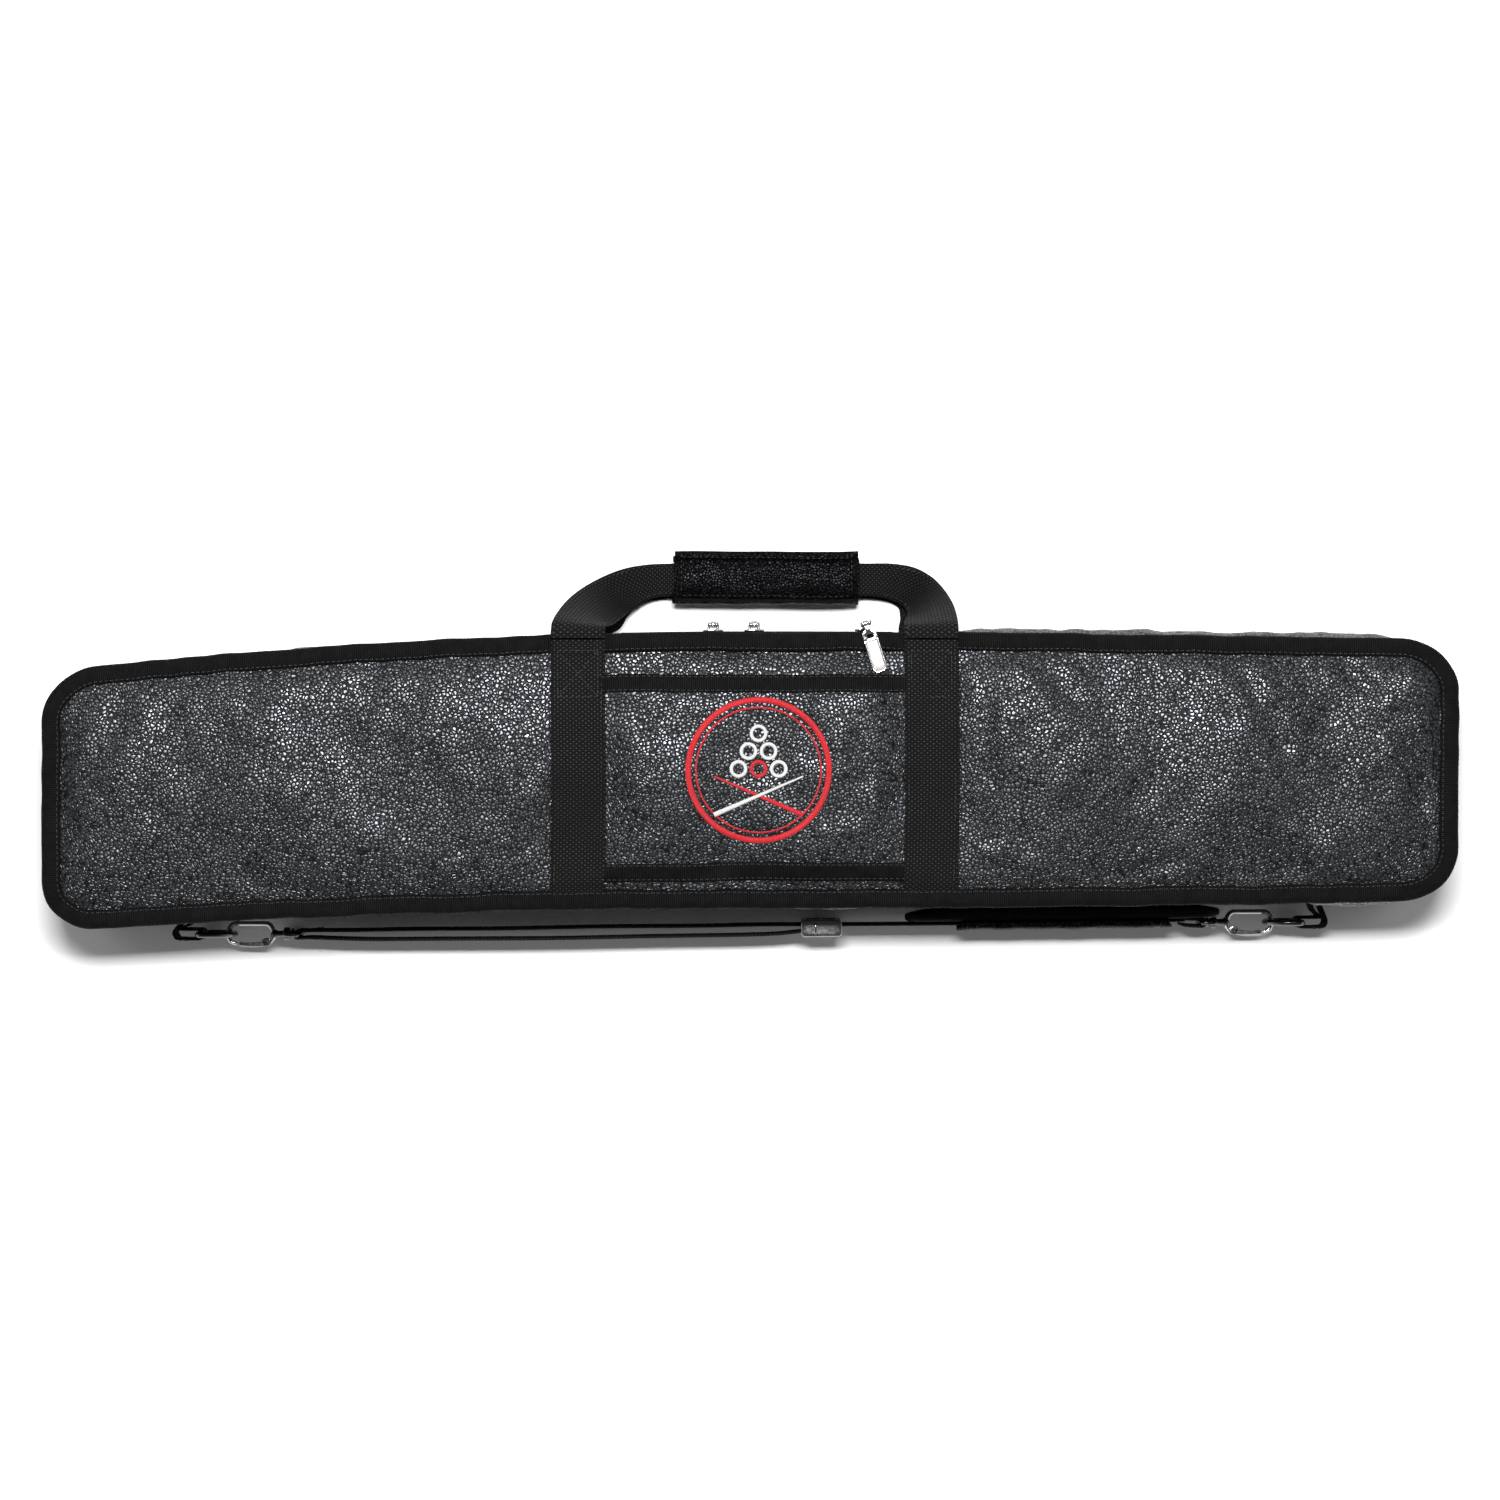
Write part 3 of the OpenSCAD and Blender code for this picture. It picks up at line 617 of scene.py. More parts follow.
def panel_z(x, y):
    """Height of the padded front panel's surface."""
    d = edge_distance(x, y)
    z = 0.0802 + 0.0026 * (1 - np.exp(-d / 0.010)) + 0.0052 * (1 - np.exp(-d / 0.034))
    inner = smooth(d / 0.012)
    for wx in WEB_X:
        z = z - 0.0026 * np.exp(-((np.abs(x - wx) / 0.026) ** 4)) * smooth(d / 0.03)
    z = z + inner * (0.0016 * waves(x, y, 0.085, 3) + 0.0004 * waves(x, y, 0.034, 4))
    z = z + 0.0008 * np.exp(-((y - 0.024) / 0.034) ** 2) * inner
    trough = smooth((0.094 - np.abs(x - 0.004)) / 0.02)
    z = z - 0.0017 * np.exp(-(((y - 0.062) / 0.014) ** 4)) * trough
    pucker = np.exp(-d / 0.011) * smooth(d / 0.0035)
    z = z + 0.00055 * pucker * waves(x, 0.25 * y, 0.017, 5)
    for x0, y0, x1, y1, w, deep in CREASES:
        s = seg_distance(x, y, x0 * MM, y0 * MM, x1 * MM, y1 * MM) / (w * MM)
        z = z - inner * deep * MM * (np.exp(-s**2) - 0.45 * np.exp(-((s - 1.7) ** 2) * 1.4))
    return z


def panel_grid(inset, step, extra=0.0):
    """Points over the panel in clean rows: an (n, m) grid of x and of y."""
    r = CORNER_R - inset
    ex = HALF_LEN - inset - r
    straight = np.linspace(-ex, ex, int(2 * ex / step))
    bend = ex + r * np.sin(np.linspace(0, math.pi / 2, 15)[1:])
    xs = np.concatenate([-bend[::-1], straight, bend])
    over = np.clip(np.abs(xs) - ex, 0, r)
    half = (HALF_W - inset - r) + np.sqrt(np.maximum(r * r - over * over, 0))
    t = np.linspace(-1, 1, int(2 * HALF_W / step))
    t = np.sign(t) * np.abs(t) ** 0.94
    x = np.repeat(xs[:, None], len(t), 1)
    return x, warp(x, half[:, None] * t[None, :])


def sweep(inset, z, n, uv_scale=1.0, wobble=None, span=None):
    """Sweeps a profile (inset, z) round the case's outline. span keeps a run of it, as (first, last) shares."""
    p, nrm, total = base_outline(n)
    keep = np.arange(n)
    if span is not None:
        a, b = int(span[0] * n), int(span[1] * n)
        keep = np.arange(a, b + 1) % n
    q = p[keep]
    s = np.arange(len(keep)) * total / n
    ins = np.asarray(inset, float)[None, :] + np.zeros((len(keep), 1))
    zz = np.asarray(z, float)[None, :] + np.zeros((len(keep), 1))
    if wobble is not None:
        di, dz = wobble(q[:, 0][:, None], q[:, 1][:, None], s[:, None], np.asarray(z, float)[None, :])
        ins, zz = ins + di, zz + dz
    out = np.empty((len(keep), ins.shape[1], 3))
    out[..., 0] = q[:, None, 0] + nrm[keep][:, None, 0] * ins
    out[..., 1] = q[:, None, 1] + nrm[keep][:, None, 1] * ins
    out[..., 2] = zz
    us = np.arange(len(keep) + (span is None)) * total / n * uv_scale
    return out, us


PATH_N = 1100
_, _, OUTLINE_LEN = base_outline(PATH_N)
# The lower side's middle run, |x| < 350 mm, folds as a hinge. Shares of the outline where the zip starts and ends.
ZIP_START, ZIP_END = 0.352 / OUTLINE_LEN, 1 - 0.352 / OUTLINE_LEN

# ---------------------------------------------------------------- front half (lid)
x, y = panel_grid(BIND_W - 0.001, 0.0021)
z = panel_z(x, y)
front = Piece().grid(np.stack([x, y, z], 2), us=x[:, 0], vs=np.linspace(-HALF_W, HALF_W, x.shape[1]))
skirt_ob = front.build("front_panel_leather", LEATHER, "lid", "leather", ["front_panel"])


def binding_wobble(seed):
    def f(px, py, s, zz):
        a = waves(s, 0 * s, 0.06, seed) * 0.0003
        b = waves(s, 0 * s, 0.021, seed + 1) * 0.00018
        return a + b, (b + 0.5 * a) * 0.8
    return f


def binding(name, top_z, sign, body, replaces, seed):
    """The folded tape over a panel's edge: sign is +1 on the front panel."""
    ins = arr(11.4, 11.0, 10.2, 7.5, 4.5, 2.2, 0.9, 0.15, 0.0, 0.15, 0.9, 2.2, 4.5, 7.0) * MM
    dz = arr(-0.7, -0.1, 0.25, 0.5, 0.55, 0.3, -0.35, -1.4, -2.7, -4.0, -5.0, -5.5, -5.6, -5.5) * MM
    p, us = sweep(ins, top_z + sign * dz, PATH_N, wobble=binding_wobble(seed))
    ob = Piece().grid(p, cu=True, us=us, flip=sign > 0).build(name, RIBBED, body, "binding_tape", replaces)
    line, _ = sweep(arr(9.6) * MM, arr(0) + top_z + sign * 0.00045, PATH_N, wobble=binding_wobble(seed))
    line = np.vstack([line[:, 0], line[:1, 0]])
    stitches(line, (0, 0, sign), name + "_stitches", body, THREAD, "binding_tape", pitch=0.0032, length=0.0022)
    return ob


binding("front_binding_tape", FRONT_Z, 1, "lid", ["front_binding"], 21)


def front_bulge(px, py, s, zz):
    """The soft side wall swells past the binding, most at the right."""
    up = np.clip((zz - 0.046) / 0.030, 0, 1)
    swell = np.sin(math.pi * up) ** 0.8
    upper = py > 0
    amount = np.where(upper, 1.6 + 3.2 * smooth((px - 0.11) / 0.03) * smooth((0.39 - px) / 0.02), 0.8)
    amount = amount + np.where(upper, 0, 3.4 * smooth((px - 0.325) / 0.012) * smooth((0.395 - px) / 0.02)
                               + 2.6 * np.exp(-((px - 0.05) / 0.03) ** 2))
    window = np.where(upper & (np.abs(px - 0.004) < 0.095), smooth((np.abs(px - 0.004) - 0.08) / 0.015), 1)
    amount = amount * (0.25 + 0.75 * window)
    fold = waves(s, zz * 2.2, 0.045, 31) * 0.6 + waves(s, zz * 3, 0.017, 32) * 0.3
    return -(amount + fold * window) * MM * swell, 0 * zz


def rear_bulge(px, py, s, zz):
    up = np.clip((zz - 0.0055) / 0.0285, 0, 1)
    swell = np.sin(math.pi * up) ** 0.8
    fold = waves(s, zz * 2.2, 0.05, 41) * 0.6 + waves(s, zz * 3, 0.016, 42) * 0.25
    return -(0.9 + fold) * MM * swell, 0 * zz


zs = np.linspace(0.0765, 0.0455, 15)
p, us = sweep(0.0021 + 0 * zs, zs, PATH_N, wobble=front_bulge)
Piece().grid(p, cu=True, us=us, flip=True).build("front_side_wall", LEATHER, "lid", "leather", ["front_gusset"])
zs = np.linspace(0.0345, 0.005, 15)
p, us = sweep(0.0021 + 0 * zs, zs, PATH_N, wobble=rear_bulge)
Piece().grid(p, cu=True, us=us, flip=True).build("rear_side_wall", LEATHER, "back_shell", "leather", ["rear_gusset"])


# ---------------------------------------------------------------- zips
def teeth_row(path, nrm, z0, side, pitch, name, body, node, reach=0.0022, r=0.00052):
    """One row of coil teeth: small rounded bars across the tape, side is +1 above the parting line."""
    p, total = resample(path, int(len(path)), False)
    count = int(total / pitch)
    s = np.linspace(0, 1, len(path)) * total
    at = (np.arange(count) + (0.5 if side > 0 else 0.0)) * pitch
    c = np.stack([np.interp(at, s, path[:, k]) for k in range(2)], 1)
    nn = np.stack([np.interp(at, s, nrm[:, k]) for k in range(2)], 1)
    out = Piece()
    a = np.arange(6) * math.tau / 6
    tt = arr(0, 0.3, 0.75, 1.0)
    rr = arr(0.7, 1.0, 1.0, 0.45) * r
    for k in range(count):
        zc = z0 + side * (0.0019 - tt * reach)
        t2 = np.array([-nn[k, 1], nn[k, 0]])
        q = np.empty((4, 6, 3))
        bow = -0.00035 * np.sin(tt * math.pi)
        for j in range(4):
            off = -nn[k][None, :] * 0 + nn[k][None, :] * (bow[j] + rr[j] * np.sin(a)[:, None]) \
                + t2[None, :] * (rr[j] * np.cos(a)[:, None])
            q[j, :, :2] = c[k] + off
            q[j, :, 2] = zc[j]
        out.grid(q, cv=True, flip=side > 0)
        out.cap(q[3], flip=side < 0)
    return out.build(name, TEETH, body, "zip_teeth", node)


ZS = (ZIP_START, ZIP_END)
p, us = sweep(arr(2.6, 1.9, 1.7, 2.0) * MM, arr(33.2, 34.6, 37.6, 39.2) * MM, PATH_N, span=ZS)
Piece().grid(p, us=us, flip=False).build("main_zip_tape_lower", ZIP_TAPE, "back_shell", "zip_tape",
                                         ["main_zip_tape_rear"])
p, us = sweep(arr(2.0, 1.7, 1.9, 2.6) * MM, arr(40.8, 42.4, 45.4, 46.8) * MM, PATH_N, span=ZS)
Piece().grid(p, us=us, flip=False).build("main_zip_tape_upper", ZIP_TAPE, "lid", "zip_tape",
                                         ["main_zip_tape_front"])
line, _ = sweep(arr(1.25, 2.25) * MM, arr(40, 40) * MM, PATH_N, span=ZS)
inward = (line[:, 1, :2] - line[:, 0, :2]) / MM
teeth_row(line[:, 0, :2], inward, 0.040, -1, 0.0020, "main_zip_teeth_lower", "back_shell", ["main_zip_coil_rear"])
teeth_row(line[:, 0, :2], inward, 0.040, 1, 0.0020, "main_zip_teeth_upper", "lid", ["main_zip_coil_front"])

# leather welts beside the zip
for tag, zc, body, node in (("lower", 0.0338, "back_shell", None), ("upper", 0.0462, "lid", None)):
    a = np.arange(10) * math.tau / 10
    p, us = sweep(0.0012 - 0.0011 * np.cos(a), zc + 0.0012 * np.sin(a), PATH_N, span=ZS)
    Piece().grid(p, cv=True, us=us).cap(p[0]).cap(p[-1], flip=True).build(
        "zip_welt_" + tag, LEATHER_FINE, body, "leather")

# the fabric hinge along the lower side
hz = np.linspace(0.0325, 0.0475, 11)
hin = 0.0019 - 0.0012 * np.sin(np.linspace(0, math.pi, 11))
p, us = sweep(hin, hz, PATH_N, span=(ZIP_END - 0.001, 1 + ZIP_START + 0.001))
hinge = Piece().grid(p, us=us, flip=False).build("fabric_hinge", LEATHER_FINE, None, "leather", ["hinge_gusset"])
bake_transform(hinge)

# the pocket zip just under the bound edge
PZ = 0.0695
xs = np.linspace(-0.076, 0.084, 90)
top = np.array([edge_y(v, 1) for v in xs])


def pocket_face(dy, z, tag, flip=False):
    q = np.stack([np.repeat(xs[:, None], len(dy), 1), top[:, None] + np.asarray(dy)[None, :] * MM,
                  np.repeat(np.asarray(z)[None, :] * MM, len(xs), 0)], 2)
    return Piece().grid(q, us=xs, flip=flip)


pocket_face([-1.4, -0.7, -0.9, -1.0], [75.9, 75.2, 73, 71.0], "upper").build(
    "pocket_zip_tape_upper", ZIP_TAPE, "lid", "zip_tape", ["pocket_zip_tape"])
pocket_face([-1.0, -0.9, -0.7, -1.6], [68.0, 66, 64, 62.8], "lower").build(
    "pocket_zip_tape_lower", ZIP_TAPE, "lid", "zip_tape")
pl = np.stack([xs, top - 0.0009], 1)
pn = np.tile([0.0, -1.0], (len(xs), 1))
teeth_row(pl, pn, PZ, 1, 0.0018, "pocket_zip_teeth_upper", "lid", ["pocket_zip_coil"], 0.0019, 0.0005)
teeth_row(pl, pn, PZ, -1, 0.0018, "pocket_zip_teeth_lower", "lid", [], 0.0019, 0.0005)
welt = Piece()
for zc in (62.6,):
    tube(welt, np.stack([xs, top - 0.0004, np.full(len(xs), zc * MM)], 1), 0.0011)
welt.build("pocket_zip_welt", LEATHER_FINE, "lid", "leather")

# ---------------------------------------------------------------- webs on the front


def over_panel(x, y, up):
    """Height of something lying on the panel and, past its edge, on the binding."""
    d = edge_distance(x, y)
    bind = smooth((0.004 - d) / 0.005)
    return np.maximum(panel_z(x, y), 0) * (1 - bind) + (FRONT_Z + 0.0006) * bind + up


web_lift = []
for tag, wx in (("left", WEB_X[0]), ("right", WEB_X[1])):
    y0 = edge_y(wx, -1, 0.0075)
    ys = np.linspace(y0, 0.0765, 110)
    zc = over_panel(np.full_like(ys, wx), ys, 0.0011)
    zc = zc + 0.00025 * waves(ys, 0 * ys, 0.05, 51 + len(tag))
    zc[:6] = np.linspace(0.0796, zc[6], 7)[:6]
    xc = wx + 0.0005 * waves(ys, 0 * ys, 0.16, 53 + len(tag))
    centre = np.stack([xc, ys, zc], 1)
    half = np.tile(arr(WEB_W / 2, 0, 0), (len(ys), 1))

    def cup(q):
        out = np.zeros_like(q)
        side = np.abs(q[..., 0] - wx) / (WEB_W / 2)
        px, py = q[..., 0], q[..., 1]
        lie = over_panel(px, py, 0) - over_panel(np.full_like(px, wx), py, 0)
        out[..., 2] = lie - 0.0002 * side**4
        return out

    ob = strip_grid(Piece(), centre, -half, 0.0017, 14, cup).build(
        "front_web_" + tag, WEBBING, "lid", "webbing", ["front_webs"] if tag == "left" else [])
    web_lift.append((wx, ys, zc))
    for sx in (-1, 1):
        line = np.stack([xc + sx * (WEB_W / 2 - 0.0022), ys, zc + 0.00085 - 0.00035], 1)[6:]
        stitches(line, (0, 0, 1), f"web_stitches_{tag}_{'l' if sx < 0 else 'r'}", "lid", THREAD, "webbing",
                 pitch=0.0036, length=0.0025)
    # sewn box with a cross, below the top edge
    bx, b0, b1 = WEB_W / 2 - 0.0042, 0.043, 0.070
    zz = lambda yy: np.interp(yy, ys, zc) + 0.0009
    loop = [(wx - bx, b0), (wx + bx, b0), (wx + bx, b1), (wx - bx, b1), (wx - bx, b0), (wx + bx, b1)]
    q = resample(np.array(loop), 120, False)[0]
    stitches(np.column_stack([q, zz(q[:, 1])]), (0, 0, 1), "web_box_a_" + tag, "lid", THREAD, "webbing")
    q = resample(np.array([(wx + bx, b0), (wx - bx, b1)]), 40, False)[0]
    stitches(np.column_stack([q, zz(q[:, 1])]), (0, 0, 1), "web_box_b_" + tag, "lid", THREAD, "webbing")

# ---------------------------------------------------------------- slip pocket
PX0, PX1 = WEB_X[0] + WEB_W / 2 - 0.003, WEB_X[1] - WEB_W / 2 + 0.003
PY0, PY1 = -0.0645, 0.0558


def pocket_z(x, y):
    """Height of the slip pocket's front: it lies on the panel at its sewn edges and stands off at its mouth."""
    u = np.clip((x - PX0) / (PX1 - PX0), 0, 1)
    v = np.clip((y - PY0) / (PY1 - PY0), 0, 1)
    side = np.minimum(u, 1 - u) * (PX1 - PX0)
    puff = smooth(side / 0.024) * smooth(v * (PY1 - PY0) / 0.026)
    z = panel_z(x, y) + 0.0009 + puff * (0.0013 + 0.0004 * smooth(v))
    z = z + puff * (0.00055 * waves(x, y, 0.06, 61) + 0.0002 * waves(x, y, 0.022, 62))
    ex, ey = x - 0.005, y - 0.0
    z = z - 0.00035 * puff * np.exp(-((np.hypot(ex, ey) - 0.041) / 0.0045) ** 2)
    return z


xs2 = np.linspace(PX0, PX1, 170)
ys2 = np.linspace(PY0, PY1, 120)
x, y = np.meshgrid(xs2, ys2, indexing="ij")
sheet = np.stack([x, y, pocket_z(x, y)], 2)
Piece().grid(sheet, us=xs2, vs=ys2).build("slip_pocket_front", LEATHER, "lid", "leather", ["slip_pocket"])
back = sheet.copy()
back[..., 2] -= 0.0011
Piece().grid(back, us=xs2, vs=ys2, flip=True).build("slip_pocket_inside", PANEL_LINING, "lid", "lining")


def band(name, y0, y1, node, rim, seed):
    """Ribbed tape sewn across the slip pocket, folded over its mouth where rim is true."""
    w = y1 - y0
    prof = [(0.0, 0.0001), (0.02, 0.0006), (0.08, 0.0008), (0.35, 0.0009), (0.7, 0.0009), (0.93, 0.0008)]
    prof += [(1.0, 0.0001), (0.995, -0.0009), (0.9, -0.0016), (0.3, -0.0016)] if rim else [(0.99, 0.0005), (1.0, -0.0002)]
    q = np.empty((len(xs2), len(prof), 3))
    wob = 0.0005 * waves(xs2, 0 * xs2, 0.08, seed)
    for j, (t, up) in enumerate(prof):
        yy = y0 + w * t + wob
        q[:, j, 0] = xs2
        q[:, j, 1] = yy
        q[:, j, 2] = pocket_z(xs2, np.full_like(xs2, 0) + yy) + up
    ob = Piece().grid(q, us=xs2, vs=arr(*[t for t, _ in prof]) * w).build(name, RIBBED, "lid", "binding_tape", [node])
    for t, tag in ((0.12, "a"), (0.88, "b")):
        yy = y0 + w * t + wob
        stitches(np.stack([xs2, yy, pocket_z(xs2, yy) + 0.0009], 1), (0, 0, 1), f"{name}_stitches_{tag}", "lid",
                 THREAD, "binding_tape")
    return ob


band("slip_pocket_mouth_band", 0.0456, 0.0562, "pocket_binding_top", True, 71)
band("slip_pocket_lower_band", -0.0652, -0.0545, "pocket_binding_bottom", False, 72)


# ---------------------------------------------------------------- emblem: a plain ring, crossed cues and balls
def satin(piece, pts, width, closed=False, high=0.0007):
    """A satin-stitched line lying on the pocket. pts are (x, y), width may vary along it."""
    p = np.asarray(pts, float)
    t = (np.roll(p, -1, 0) - np.roll(p, 1, 0)) if closed else np.gradient(p, axis=0)
    t /= np.linalg.norm(t, axis=1)[:, None]
    nrm = np.stack([-t[:, 1], t[:, 0]], 1)
    w = np.broadcast_to(np.asarray(width, float), (len(p),))
    a = arr(-1, -0.9, -0.55, 0, 0.55, 0.9, 1)
    h = arr(-0.2, 0.45, 0.9, 1.05, 0.9, 0.45, -0.2) * high + 0.00035
    q = np.empty((len(p), 7, 3))
    q[..., :2] = p[:, None] + nrm[:, None] * (a[None, :, None] * w[:, None, None] / 2)
    q[..., 2] = pocket_z(q[..., 0], q[..., 1]) + h[None, :]
    piece.grid(q, cu=closed, flip=True)
    if not closed:
        piece.cap(q[0])
        piece.cap(q[-1], flip=True)
    return piece


def circle(cx, cy, r, n):
    a = np.arange(n) * math.tau / n
    return np.stack([cx + r * np.cos(a), cy + r * np.sin(a)], 1)


EX, EY = 0.005, 0.0
red, white = Piece(), Piece()
satin(red, circle(EX, EY, 0.0412, 160), 0.0034, True)
satin(red, circle(EX, EY, 0.0366, 150), 0.0011, True)
tri = rounded(0.001, 0.001, 0.0001, 2)
side = 0.0125
for row in range(3):
    for k in range(row + 1):
        satin(white if (row, k) != (2, 1) else red,
              circle(EX + (k - row / 2) * 0.0118, EY + 0.0215 - row * 0.0104, 0.0042, 40), 0.0021, True)
for s in (-1, 1):
    cue = np.linspace(0, 1, 60)[:, None] * arr(s * 0.052, 0.0225) + arr(EX - s * 0.026, EY - 0.0262)
    satin(white if s > 0 else red, cue, np.linspace(0.0030, 0.0012, 60), False, 0.0006 + 0.0004 * (s > 0))
red.build("emblem_red_stitching", RED_THREAD, "lid", "emblem_thread", ["emblem"])
white.build("emblem_white_stitching", WHITE_THREAD, "lid", "emblem_thread")

# ---------------------------------------------------------------- front handle
GRIP_X0, GRIP_X1 = -0.046, 0.066


def handle_strip(points, halves, n, name, body, node, thick=0.0018, curl=0.0):
    c = spline(points, n)
    h = spline(halves, n)
    s = np.linspace(0, 1, n)

    def lift(q):
        out = np.zeros_like(q)
        out[..., 2] = 0.0003 * waves(q[..., 0], q[..., 1], 0.03, 81)
        return out

    piece = strip_grid(Piece(), c, h, thick, 12, lift)
    ob = piece.build(name, WEBBING, body, "webbing", node)
    t = np.gradient(c, axis=0)
    nrm = np.cross(t, h)
    nrm /= np.linalg.norm(nrm, axis=1)[:, None]
    up = np.where(nrm[:, 2].mean() > 0, 1, -1)
    for sgn in (-1, 1):
        unit = h / np.linalg.norm(h, axis=1)[:, None]
        line = c + sgn * (h - unit * 0.0022) + up * nrm * (thick / 2 - 0.0003)
        stitches(line[3:-3], up * nrm[3:-3], f"{name}_stitch_{'a' if sgn < 0 else 'b'}", body, THREAD, "webbing")
    return ob


HANDLE = {
    "left": ([(-101, 77.5, 83.5), (-101, 82.2, 83.2), (-100.4, 86.2, 79.2), (-98, 90, 66), (-94.5, 94.5, 49), (-89, 100, 31),
              (-81.5, 105.5, 18), (-73, 110, 12.2), (-64, 113.2, 10.6), (-54, 114.8, 10.3), (-41, 115, 10.2)],
             [(-16, 0, 0), (-16, 0, 0), (-15.8, 1.5, 0.2), (-14.8, 4.8, 1.5), (-13.2, 7.6, 3.5), (-11, 9.4, 4.5), (-8, 10.6, 4.0),
              (-4.8, 11.2, 2.2), (-2, 10.6, 0.8), (0, 10, 0), (0, 9.8, 0)]),
    "right": ([(106.5, 77.5, 83.5), (106.5, 82.2, 83.2), (106.5, 86.2, 79.4), (106.6, 90.2, 67), (106.8, 94.8, 50), (105.8, 100.5, 32),
               (102.2, 106.5, 19), (94.8, 111.6, 12.6), (84.5, 114.2, 10.8), (74, 115, 10.3), (61, 115, 10.2)],
              [(16, 0, 0), (16, 0, 0), (15.9, 0.5, 0.2), (15.3, 2.4, 2.2), (13.6, 4.6, 5.2), (10.6, 7.2, 7.6), (7.2, 9.6, 6.6),
               (4.2, 10.8, 3.2), (1.6, 10.6, 1.0), (0, 10, 0), (0, 9.8, 0)]),
}
for tag, (pts, hv) in HANDLE.items():
    handle_strip(np.array(pts, float) * MM, np.array(hv, float) * MM, 120, "front_handle_web_" + tag, "front_handle",
                 ["front_handle_web"] if tag == "left" else [])


def superloop(cy, cz, ry, rz, n, power=2.6, a0=0.0, a1=math.tau, closed=True):
    a = np.linspace(a0, a1, n, endpoint=not closed)
    return np.stack([cy + ry * np.sign(np.cos(a)) * np.abs(np.cos(a)) ** (2 / power),
                     cz + rz * np.sign(np.sin(a)) * np.abs(np.sin(a)) ** (2 / power)], 1)


# the leather wrap: a soft flattened roll, open at its ends
gx = np.linspace(GRIP_X0, GRIP_X1, 80)
outer = superloop(0.1150, 0.0106, 0.0150, 0.0074, 56, 2.7)
end = np.clip(np.minimum(gx - GRIP_X0, GRIP_X1 - gx) / 0.004, 0, 1) ** 0.5
q = np.empty((len(gx), 56, 3))
for k, xx in enumerate(gx):
    grow = 0.965 + 0.035 * end[k]
    yy = 0.1150 + (outer[:, 0] - 0.1150) * grow
    zz = 0.0106 + (outer[:, 1] - 0.0106) * grow
    n1 = 0.00045 * waves(xx + 0 * yy, yy * 1.2 + zz, 0.02, 83) + 0.00025 * waves(xx + 0 * yy, yy + zz * 2, 0.008, 84)
    q[k, :, 0] = xx + 0.0009 * waves(yy, zz, 0.02, 85 + k // 60)
    q[k, :, 1] = yy + n1 * 0.6
    q[k, :, 2] = zz + n1
inside = q.copy()
inside[..., 1] = 0.1150 + (q[..., 1] - 0.1150) * 0.86
inside[..., 2] = 0.0106 + (q[..., 2] - 0.0106) * 0.74
grip = Piece().grid(q, cv=True, flip=True)
grip.grid(np.stack([inside[0], q[0]], 0), cv=True, flip=True)
grip.grid(np.stack([q[-1], inside[-1]], 0), cv=True, flip=True)
ob = grip.build("grip_leather", LEATHER_FINE, "front_handle", "leather", ["grip_wrap"])
core = Piece().grid(inside[2:-2], cv=True, flip=True).cap(inside[2]).cap(inside[-3], flip=True)
core.build("grip_padding", LINING, "front_handle", "lining", ["grip_core"])
for xx, tag in ((GRIP_X0 + 0.003, "left"), (GRIP_X1 - 0.003, "right")):
    loop = superloop(0.1150, 0.0106, 0.01505, 0.00745, 120, 2.7, 0.05, math.pi - 0.05, False)
    pts = np.column_stack([np.full(len(loop), xx), loop])
    nn = np.column_stack([np.zeros(len(loop)), loop[:, 0] - 0.1150, (loop[:, 1] - 0.0106) * 3.0])
    nn /= np.linalg.norm(nn, axis=1)[:, None]
    stitches(pts, nn, "grip_end_stitches_" + tag, "front_handle", THREAD, "leather")

# hook strip on the wrap and loop strip under the flap
hx, hy = np.meshgrid(np.linspace(-0.038, 0.058, 60), np.linspace(0.1055, 0.1245, 14), indexing="ij")
wrap_top = 0.0106 + 0.0074 * (1 - np.clip(np.abs(hy - 0.115) / 0.015, 0, 1) ** 2.7) ** (1 / 2.7)
top = np.stack([hx, hy, wrap_top + 0.0011], 2)
low = top - arr(0, 0, 0.0012)
strip = Piece().grid(top).grid(np.concatenate([top[:, -1:], low[:, -1:]], 1), flip=False)
strip.grid(np.concatenate([low[:, :1], top[:, :1]], 1)).grid(np.concatenate([low[:1], top[:1]], 0), flip=False)
strip.grid(np.concatenate([top[-1:], low[-1:]], 0))
strip.build("grip_touch_strip", TOUCH, "front_handle", "touch_strip", ["grip_hook_strip"])

prof = spline([(0.1314, 0.0196), (0.1318, 0.0204), (0.1310, 0.0213), (0.1285, 0.0218), (0.1262, 0.0208), (0.1245, 0.0207),
               (0.1215, 0.0213), (0.1150, 0.0216), (0.1085, 0.0213), (0.1045, 0.0204), (0.1018, 0.0192)], 54)
fx = np.linspace(GRIP_X0 + 0.0006, GRIP_X1 - 0.0006, 84)
q = np.empty((len(fx), len(prof), 3))
for k, xx in enumerate(fx):
    e = min(xx - GRIP_X0, GRIP_X1 - xx)
    drop = 0.0012 * (1 - smooth(e / 0.007))
    n1 = 0.0003 * waves(xx + 0 * prof[:, 0], prof[:, 0] * 1.4, 0.026, 91)
    edge = 0.0005 * waves(np.array(xx), np.array(0.0), 0.05, 92)
    q[k, :, 0] = xx
    q[k, :, 1] = prof[:, 0] + edge
    q[k, :, 2] = prof[:, 1] + n1 - drop
tn = np.gradient(q, axis=1)
fn = np.cross(arr(1, 0, 0), tn)
fn /= np.linalg.norm(fn, axis=2)[..., None]
if fn[40, 30, 2] < 0:
    fn = -fn
under = q - fn * 0.0013
flap = Piece().grid(q, flip=True).grid(under)
